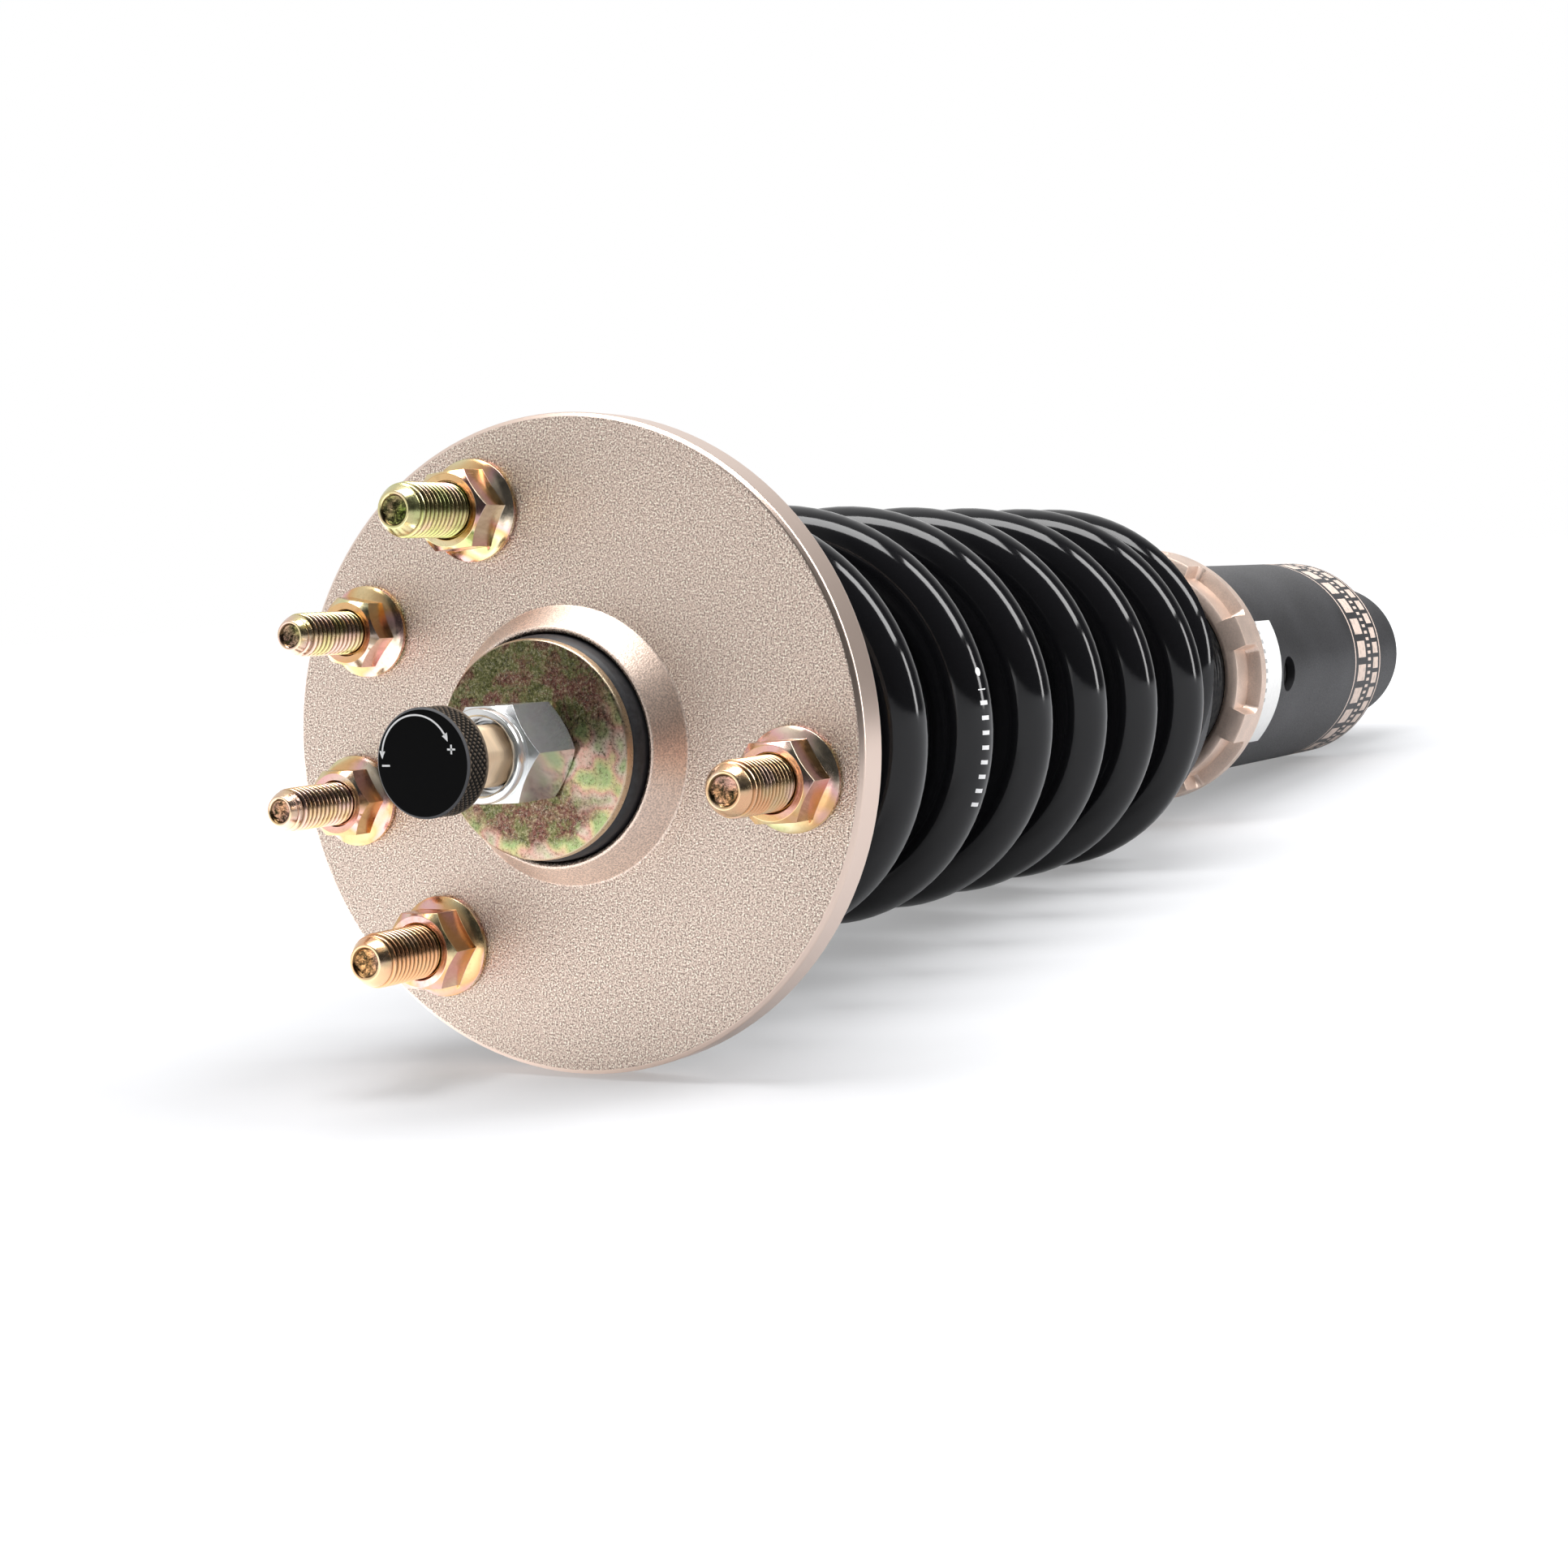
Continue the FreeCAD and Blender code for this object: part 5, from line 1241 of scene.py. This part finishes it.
def dust_boot():
    """The boot: an outer and an inner wall that swell in and out as waves, radius = bore + fold *
    swell, a cuff on the seat's neck and a plain skirt below."""
    s = sizes()
    foot, top = heights("dust_boot")
    bore, neck, pilot = 27.2 * MM, 28.2 * MM, 30.2 * MM
    lip = neck - 0.8 * MM
    cuff, ledge = top - 7.2 * MM, top - 6 * MM
    skirt = foot + 30 * MM
    z = np.linspace(cuff, skirt, s.boot_folds * 14 + 1)
    phase = TURN * s.boot_folds * (cuff - z) / (cuff - skirt)
    swell = (0.5 - 0.5 * np.cos(phase)) ** 0.8
    inside = np.column_stack([bore + s.boot_fold * swell, z])
    outside = inside + (s.boot_wall, 0)
    bottom = [(bore, foot), (bore + s.boot_wall, foot)]
    cuff_ring = [(pilot, cuff), (pilot, top), (lip, top), (lip, top - 4 * MM),
                 (neck, top - 5 * MM), (neck, ledge), (bore, ledge)]
    profile = np.vstack([inside, bottom, outside[::-1], cuff_ring])
    mesh = turned("dust_boot_rubber", profile, 112, sharp=60)
    stand_in("dust_boot_rubber", mesh, black_rubber(), "upper_seat", "dust_boot")


TUBE_ROWS = 6  # rows of points in one turn of the tube's thread


def damper_tube():
    """The threaded tube: a closed profile turned about the axis, its outside cut by a helical wave,
    radius = full - depth * wave."""
    s = sizes()
    foot, top = heights("damper_tube")
    radius, bore = reach("damper_tube"), 22 * MM
    groove, shoulder = bore + 1.25 * MM, radius - 1.4 * MM
    groove_top, groove_foot = top - 1.2 * MM, top - 2.8 * MM
    angle = np.linspace(0, TURN, 72, endpoint=False)
    rows = int((top - foot) / s.tube_pitch * TUBE_ROWS)
    rise = np.linspace(foot + 1.0 * MM, top - 1.0 * MM, rows)
    skin = radius - s.tube_thread * helical_wave(rise[:, None], angle, s.tube_pitch)
    inner = np.array([
        (shoulder, top), (bore + 0.3 * MM, top), (bore, top - 0.3 * MM), (bore, groove_top),
        (groove, groove_top), (groove, groove_foot), (bore, groove_foot), (bore, foot),
        (shoulder, foot),
    ])
    grid = stacked(angle, (skin, rise), inner.T)
    mesh = ring_surface("threaded_tube", grid, closed=True, sharp=40)
    stand_in("threaded_tube", mesh, black_steel(), "damper_body", "damper_tube")


SLOT_CORNER = 1.7 * MM  # rounding of a slot's corners
SLOT_SOFT = 0.55 * MM  # width over which a slot's wall rises


def lock_ring():
    """The castellated ring: a turned profile whose outside sinks to the slot floor inside rounded
    boxes, radius = full - depth * soft step of (0.5 - distance / softness), where distance is the
    signed distance to the nearest box."""
    s = sizes()
    low, high = heights("bracket_lock_ring")
    radius, bore = reach("bracket_lock_ring"), reach("damper_tube") + 0.05 * MM
    period = TURN / s.slot_count
    half = s.slot_angle / 2 * radius
    span = period / 2 * radius
    wall = np.linspace(-1.6, 1.6, 11) * MM
    steps = [np.linspace(-span, span, 22), half + wall, -half + wall]
    steps = np.unique(np.round(np.concatenate(steps), 6))
    steps = steps[(steps >= -span) & (steps < span - 0.05 * MM)]
    start = np.arange(s.slot_count)[:, None] * period
    angle = (s.slot_phase + (start + steps / radius)).ravel()
    shelf = low + s.slot_lip
    rise = [np.linspace(low + 0.4 * MM, high - 0.5 * MM, 12),
            shelf + np.linspace(-0.4, 2.4, 9) * MM]
    rise = np.unique(np.round(np.concatenate(rise), 6))
    dx = np.abs(np.tile(steps, s.slot_count)) - half + SLOT_CORNER
    dz = (shelf + SLOT_CORNER) - rise[:, None]
    outside = np.hypot(np.maximum(dx, 0), np.maximum(dz, 0))
    distance = outside + np.minimum(np.maximum(dx, dz), 0) - SLOT_CORNER
    sunk = smoothstep(0.5 - distance / SLOT_SOFT)
    skin = radius - (radius - s.slot_floor) * sunk
    crown = skin[-1:]
    inner = np.array([
        (bore + 1.3 * MM, high), (bore + 0.9 * MM, high - 0.08 * MM), (bore, high - 0.9 * MM),
        (bore, low), (radius - 0.5 * MM, low), (radius - 0.1 * MM, low + 0.15 * MM),
    ])
    grid = stacked(angle, (skin, rise), (crown - 0.054 * MM, [high - 0.2 * MM]),
                   (crown - 0.5 * MM, [high]), inner.T)
    mesh = ring_surface("castellated_ring", grid, closed=True, sharp=35)
    stand_in("castellated_ring", mesh, champagne_matt(), "lower_bracket", "bracket_lock_ring")


# Stage: the camera was solved from round outlines, and right, up and back are its own directions

CAMERA_PLACE = (0.063807, -0.276714, 0.441723)
CAMERA_TURN = (-5.0019, 28.1851, -84.8672)
CAMERA_LENS = 66.497
PHOTO_RIGHT = Vector((0.078856, -0.877892, -0.472322))
PHOTO_UP = Vector((0.98851, 0.13014, -0.07685))
PHOTO_BACK = Vector((0.128935, -0.460836, 0.878069))
AIM = Vector((0, 0, -0.12))

FLOOR_REACH = 1.6  # half the width of the floor
FLOOR_MIDDLE = -0.008  # height of its middle
FLOOR_DROP = 0.0602  # distance of its middle from the strut's axis
FLOOR_TURN = math.radians(7.5)  # direction of the floor about that axis
FLOOR_LEAN = 0.0755  # slope of the floor along that axis
FLOOR_GLOW = 0.29
FLOOR_RING_GLOW = 0.22  # added away from the axis
FLOOR_FAR_GLOW = 0.60  # added away from the strut
FLOOR_GLOSS_LEFT = 1.35
FLOOR_GLOSS_RIGHT = 0.06
AMBIENT = 0.56
GLOSS_DARK = 0.04
GLOSS_BRIGHT = 1.05

# Each panel's name, its distances right, up and towards the viewer, its width, height and power
PANELS = (
    ("top_softbox", (-0.14, 1.0, 0.30), 1.0, 0.46, 13.0),
    ("corner_softbox", (0.76, 0.74, 0.16), 0.66, 0.32, 6.4),
    ("right_softbox", (1.08, 0.14, 0.02), 0.60, 0.18, 3.0),
)


def panel_light(name, place, width, height, power):
    """A panel that faces the strut, its width across the photograph's line of sight."""
    light = bpy.data.lights.new(name, "AREA")
    light.shape = "RECTANGLE"
    light.size, light.size_y = width, height
    light.energy = power
    right, up, back = place
    offset = PHOTO_RIGHT * right + PHOTO_UP * up + PHOTO_BACK * back
    away = offset.normalized()
    across = PHOTO_BACK.cross(away).normalized()
    lamp = added(name, light)
    lamp.matrix_world = Matrix((across, away.cross(across), away)).transposed().to_4x4()
    lamp.location = AIM + offset


def studio_floor():
    """A flat sheet that touches the plate's rim and the coil: point = foot + u along + v across.
    It is clear from behind, and fades into the white round it."""
    up = Vector((math.cos(FLOOR_TURN), math.sin(FLOOR_TURN), 0))
    normal = (up + Vector((0, 0, FLOOR_LEAN))).normalized()
    foot = up * -FLOOR_DROP + Vector((0, 0, FLOOR_MIDDLE))
    along = normal.cross(Vector((0, 1, 0))).normalized()
    across = normal.cross(along)
    rows = 9
    reach_out = np.linspace(-FLOOR_REACH, FLOOR_REACH, rows)
    u, v = np.meshgrid(reach_out, reach_out, indexing="ij")
    points = np.array(foot) + u[..., None] * np.array(along) + v[..., None] * np.array(across)
    index = np.arange(rows * rows).reshape(rows, rows)
    quads = [index[:-1, :-1], index[1:, :-1], index[1:, 1:], index[:-1, 1:]]
    mesh = bpy.data.meshes.new("studio_floor")
    faces = np.stack(quads, -1).reshape(-1, 4)
    mesh.from_pydata(points.reshape(-1, 3).tolist(), [], faces.tolist())
    mesh.update()
    if mesh.polygons[0].normal.dot(normal) < 0:
        mesh.flip_normals()
    mesh.materials.append(floor_finish())
    sheet = added("studio_floor", mesh)


def floor_finish():
    """Pale paper: diffuse, so that it holds the shadow, with a plain glow for the camera and for
    gloss."""
    tone = colours().floor
    f = Finish("studio_paper", tone, Roughness=0.9)
    paper_tone = f.mottled(f.noise(0.05, 2), tone, 0.99, 1.01)
    diffuse = f.node("ShaderNodeBsdfDiffuse", {"Color": paper_tone}).outputs[0]
    path = f.node("ShaderNodeLightPath").outputs
    near = f.spread(f.radius(), 95.0, 220.0, FLOOR_GLOW, FLOOR_GLOW + FLOOR_RING_GLOW)
    outer = f.spread(f.away((0, 0, -200)), 250.0, 600.0, 0.0, FLOOR_FAR_GLOW)
    plain = f.sum("ADD", near, outer)
    mirrored = f.spread(f.toward(PHOTO_RIGHT), -45.0, 30.0, FLOOR_GLOSS_LEFT, FLOOR_GLOSS_RIGHT)
    strength = f.spread(path["Is Camera Ray"], 0, 1, mirrored, plain)
    glow = f.node("ShaderNodeEmission", {"Color": (1, 1, 1), "Strength": strength}).outputs[0]
    lit = f.node("ShaderNodeAddShader", {0: diffuse, 1: glow}).outputs[0]
    seen = f.sum("MAXIMUM", path["Is Camera Ray"], path["Is Glossy Ray"])
    shown = f.mixed(seen, diffuse, lit)
    behind = f.node("ShaderNodeNewGeometry").outputs["Backfacing"]
    hidden = f.sum("MAXIMUM", behind, f.spread(f.away((0, 0, 0)), 750.0, 1350.0))
    clear = f.node("ShaderNodeBsdfTransparent").outputs[0]
    f.link(f.mixed(hidden, shown, clear), f.tree.nodes["Material Output"].inputs["Surface"])
    f.tree.nodes.remove(f.shader)
    return f.material


def studio_world():
    """White for the camera. For gloss it is bright on the photograph's left and far side, dark
    towards the viewer and the right, and a little darker upwards."""
    world = bpy.data.worlds.new("studio_world")
    bpy.context.scene.world = world
    world.use_nodes = True
    g = Graph(world.node_tree)
    path = g.node("ShaderNodeLightPath").outputs
    sky = g.node("ShaderNodeTexCoord").outputs["Generated"]

    def along(direction, *values):
        """A value that changes along a direction in the sky."""
        return g.spread(g.vector("DOT_PRODUCT", sky, direction)["Value"], *values)

    far_left = (PHOTO_RIGHT * -0.75 - PHOTO_BACK * 0.65).normalized()
    gloss = g.sum("MULTIPLY", along(far_left, -0.30, 0.34, GLOSS_DARK, GLOSS_BRIGHT),
                  along(PHOTO_UP, -0.35, 0.35, 1.12, 0.80))
    shiny = g.sum("MAXIMUM", path["Is Glossy Ray"], path["Is Transmission Ray"])
    plain = g.spread(shiny, 0, 1, AMBIENT, gloss)
    background = g.tree.nodes["Background"]
    g.link((1, 1, 1), background.inputs["Color"])
    g.link(g.spread(path["Is Camera Ray"], 0, 1, plain, 1.0), background.inputs["Strength"])


def photo_camera():
    """The camera at the photograph's own place."""
    view = bpy.data.cameras.new("photo_camera")
    view.lens = CAMERA_LENS
    view.sensor_width = 36
    view.clip_start, view.clip_end = 0.01, 20
    camera = added("photo_camera", view)
    camera.location = CAMERA_PLACE
    camera.rotation_euler = Euler([math.radians(angle) for angle in CAMERA_TURN], "XYZ")
    bpy.context.scene.camera = camera


def studio():
    """The floor, the surrounding light, the panels and the camera."""
    studio_floor()
    studio_world()
    for panel in PANELS:
        panel_light(*panel)
    photo_camera()
    bpy.context.scene.view_settings.view_transform = "Standard"


# Operators, one for each piece or group of like pieces

class COILOVER_OT_top_mount(bpy.types.Operator):
    """Finish the mount plate, its washers, nuts and adjuster stem"""
    bl_idname = "coilover.top_mount"
    bl_label = "Top mount"

    def execute(self, context):
        rounded_copy("top_plate", 0.32 * MM, 3, even=True)
        rounded_copy("top_washer", 0.2 * MM)
        rounded_copy("lower_washer", 0.2 * MM)
        rounded_copy("rod_nut", 0.3 * MM, 3)
        rounded_copy("adjuster_housing", 0.2 * MM, finish=champagne_bright())
        rounded_copy("large_flange_nuts", 0.22 * MM, 3)
        rounded_copy("small_flange_nuts", 0.2 * MM, 3)
        return {"FINISHED"}


class COILOVER_OT_studs(bpy.types.Operator):
    """Make the threaded studs"""
    bl_idname = "coilover.studs"
    bl_label = "Studs"

    def execute(self, context):
        studs()
        return {"FINISHED"}


class COILOVER_OT_rubber(bpy.types.Operator):
    """Make the rubber cushions, the foam bump stop and the dust boot"""
    bl_idname = "coilover.rubber"
    bl_label = "Rubber and foam"

    def execute(self, context):
        cushions()
        bump_stop()
        dust_boot()
        return {"FINISHED"}


class COILOVER_OT_knob(bpy.types.Operator):
    """Make the knurled knob and its marks"""
    bl_idname = "coilover.knob"
    bl_label = "Knob"

    def execute(self, context):
        stand_in("knurled_knob", knob_surface(), knob_black(), "knob", "adjuster_knob")
        knob_marks()
        return {"FINISHED"}


class COILOVER_OT_coil(bpy.types.Operator):
    """Make the coil spring"""
    bl_idname = "coilover.coil"
    bl_label = "Coil"

    def execute(self, context):
        coil()
        return {"FINISHED"}


class COILOVER_OT_seats(bpy.types.Operator):
    """Finish the two spring seats and the perch ring"""
    bl_idname = "coilover.seats"
    bl_label = "Spring seats"

    def execute(self, context):
        rounded_copy("upper_spring_seat")
        rounded_copy("lower_spring_seat")
        rounded_copy("perch_lock_ring")
        return {"FINISHED"}


class COILOVER_OT_damper(bpy.types.Operator):
    """Make the threaded damper tube"""
    bl_idname = "coilover.damper"
    bl_label = "Damper tube"

    def execute(self, context):
        damper_tube()
        return {"FINISHED"}


class COILOVER_OT_bracket(bpy.types.Operator):
    """Make the castellated lock ring and finish the bracket and its spigot"""
    bl_idname = "coilover.bracket"
    bl_label = "Lower bracket"

    def execute(self, context):
        lock_ring()
        rounded_copy("bracket_tube")
        rounded_copy("fork_spigot")
        return {"FINISHED"}


class COILOVER_OT_inner_parts(bpy.types.Operator):
    """Give every CAD piece that is still shown its finish"""
    bl_idname = "coilover.inner_parts"
    bl_label = "Inner parts"

    def execute(self, context):
        for node, thing in frame["nodes"].items():
            if not thing.hide_render:
                finish = FINISHES[slot_of(node)]()
                for place in thing.material_slots:
                    place.material = finish
        return {"FINISHED"}


class COILOVER_OT_studio(bpy.types.Operator):
    """Set up the floor, the light and the camera"""
    bl_idname = "coilover.studio"
    bl_label = "Studio"

    def execute(self, context):
        studio()
        return {"FINISHED"}


OPERATORS = (
    COILOVER_OT_top_mount,
    COILOVER_OT_studs,
    COILOVER_OT_rubber,
    COILOVER_OT_knob,
    COILOVER_OT_coil,
    COILOVER_OT_seats,
    COILOVER_OT_damper,
    COILOVER_OT_bracket,
    COILOVER_OT_inner_parts,
    COILOVER_OT_studio,
)


class COILOVER_PT_panel(bpy.types.Panel):
    """Lists the steps that dress the strut"""
    bl_idname = "COILOVER_PT_panel"
    bl_label = "Coilover strut"
    bl_space_type = "VIEW_3D"
    bl_region_type = "UI"
    bl_category = "Coilover"

    def draw(self, context):
        for step in OPERATORS:
            self.layout.operator(step.bl_idname)
        for group in (context.scene.coilover_sizes, context.scene.coilover_colours):
            column = self.layout.column()
            for key in group.bl_rna.properties.keys():
                if key not in ("rna_type", "name"):
                    column.prop(group, key)


CLASSES = (CoiloverSizes, CoiloverColours, *OPERATORS, COILOVER_PT_panel)


def register():
    """Add the classes and the two groups of settings."""
    for cls in CLASSES:
        bpy.utils.register_class(cls)
    bpy.types.Scene.coilover_sizes = PointerProperty(type=CoiloverSizes)
    bpy.types.Scene.coilover_colours = PointerProperty(type=CoiloverColours)


def unregister():
    """Take them away again."""
    del bpy.types.Scene.coilover_colours
    del bpy.types.Scene.coilover_sizes
    for cls in reversed(CLASSES):
        bpy.utils.unregister_class(cls)


def main():
    """Run each step in its order."""
    register()
    for step in OPERATORS:
        group, name = step.bl_idname.split(".")
        getattr(getattr(bpy.ops, group), name)()


if __name__ == "__main__":
    main()
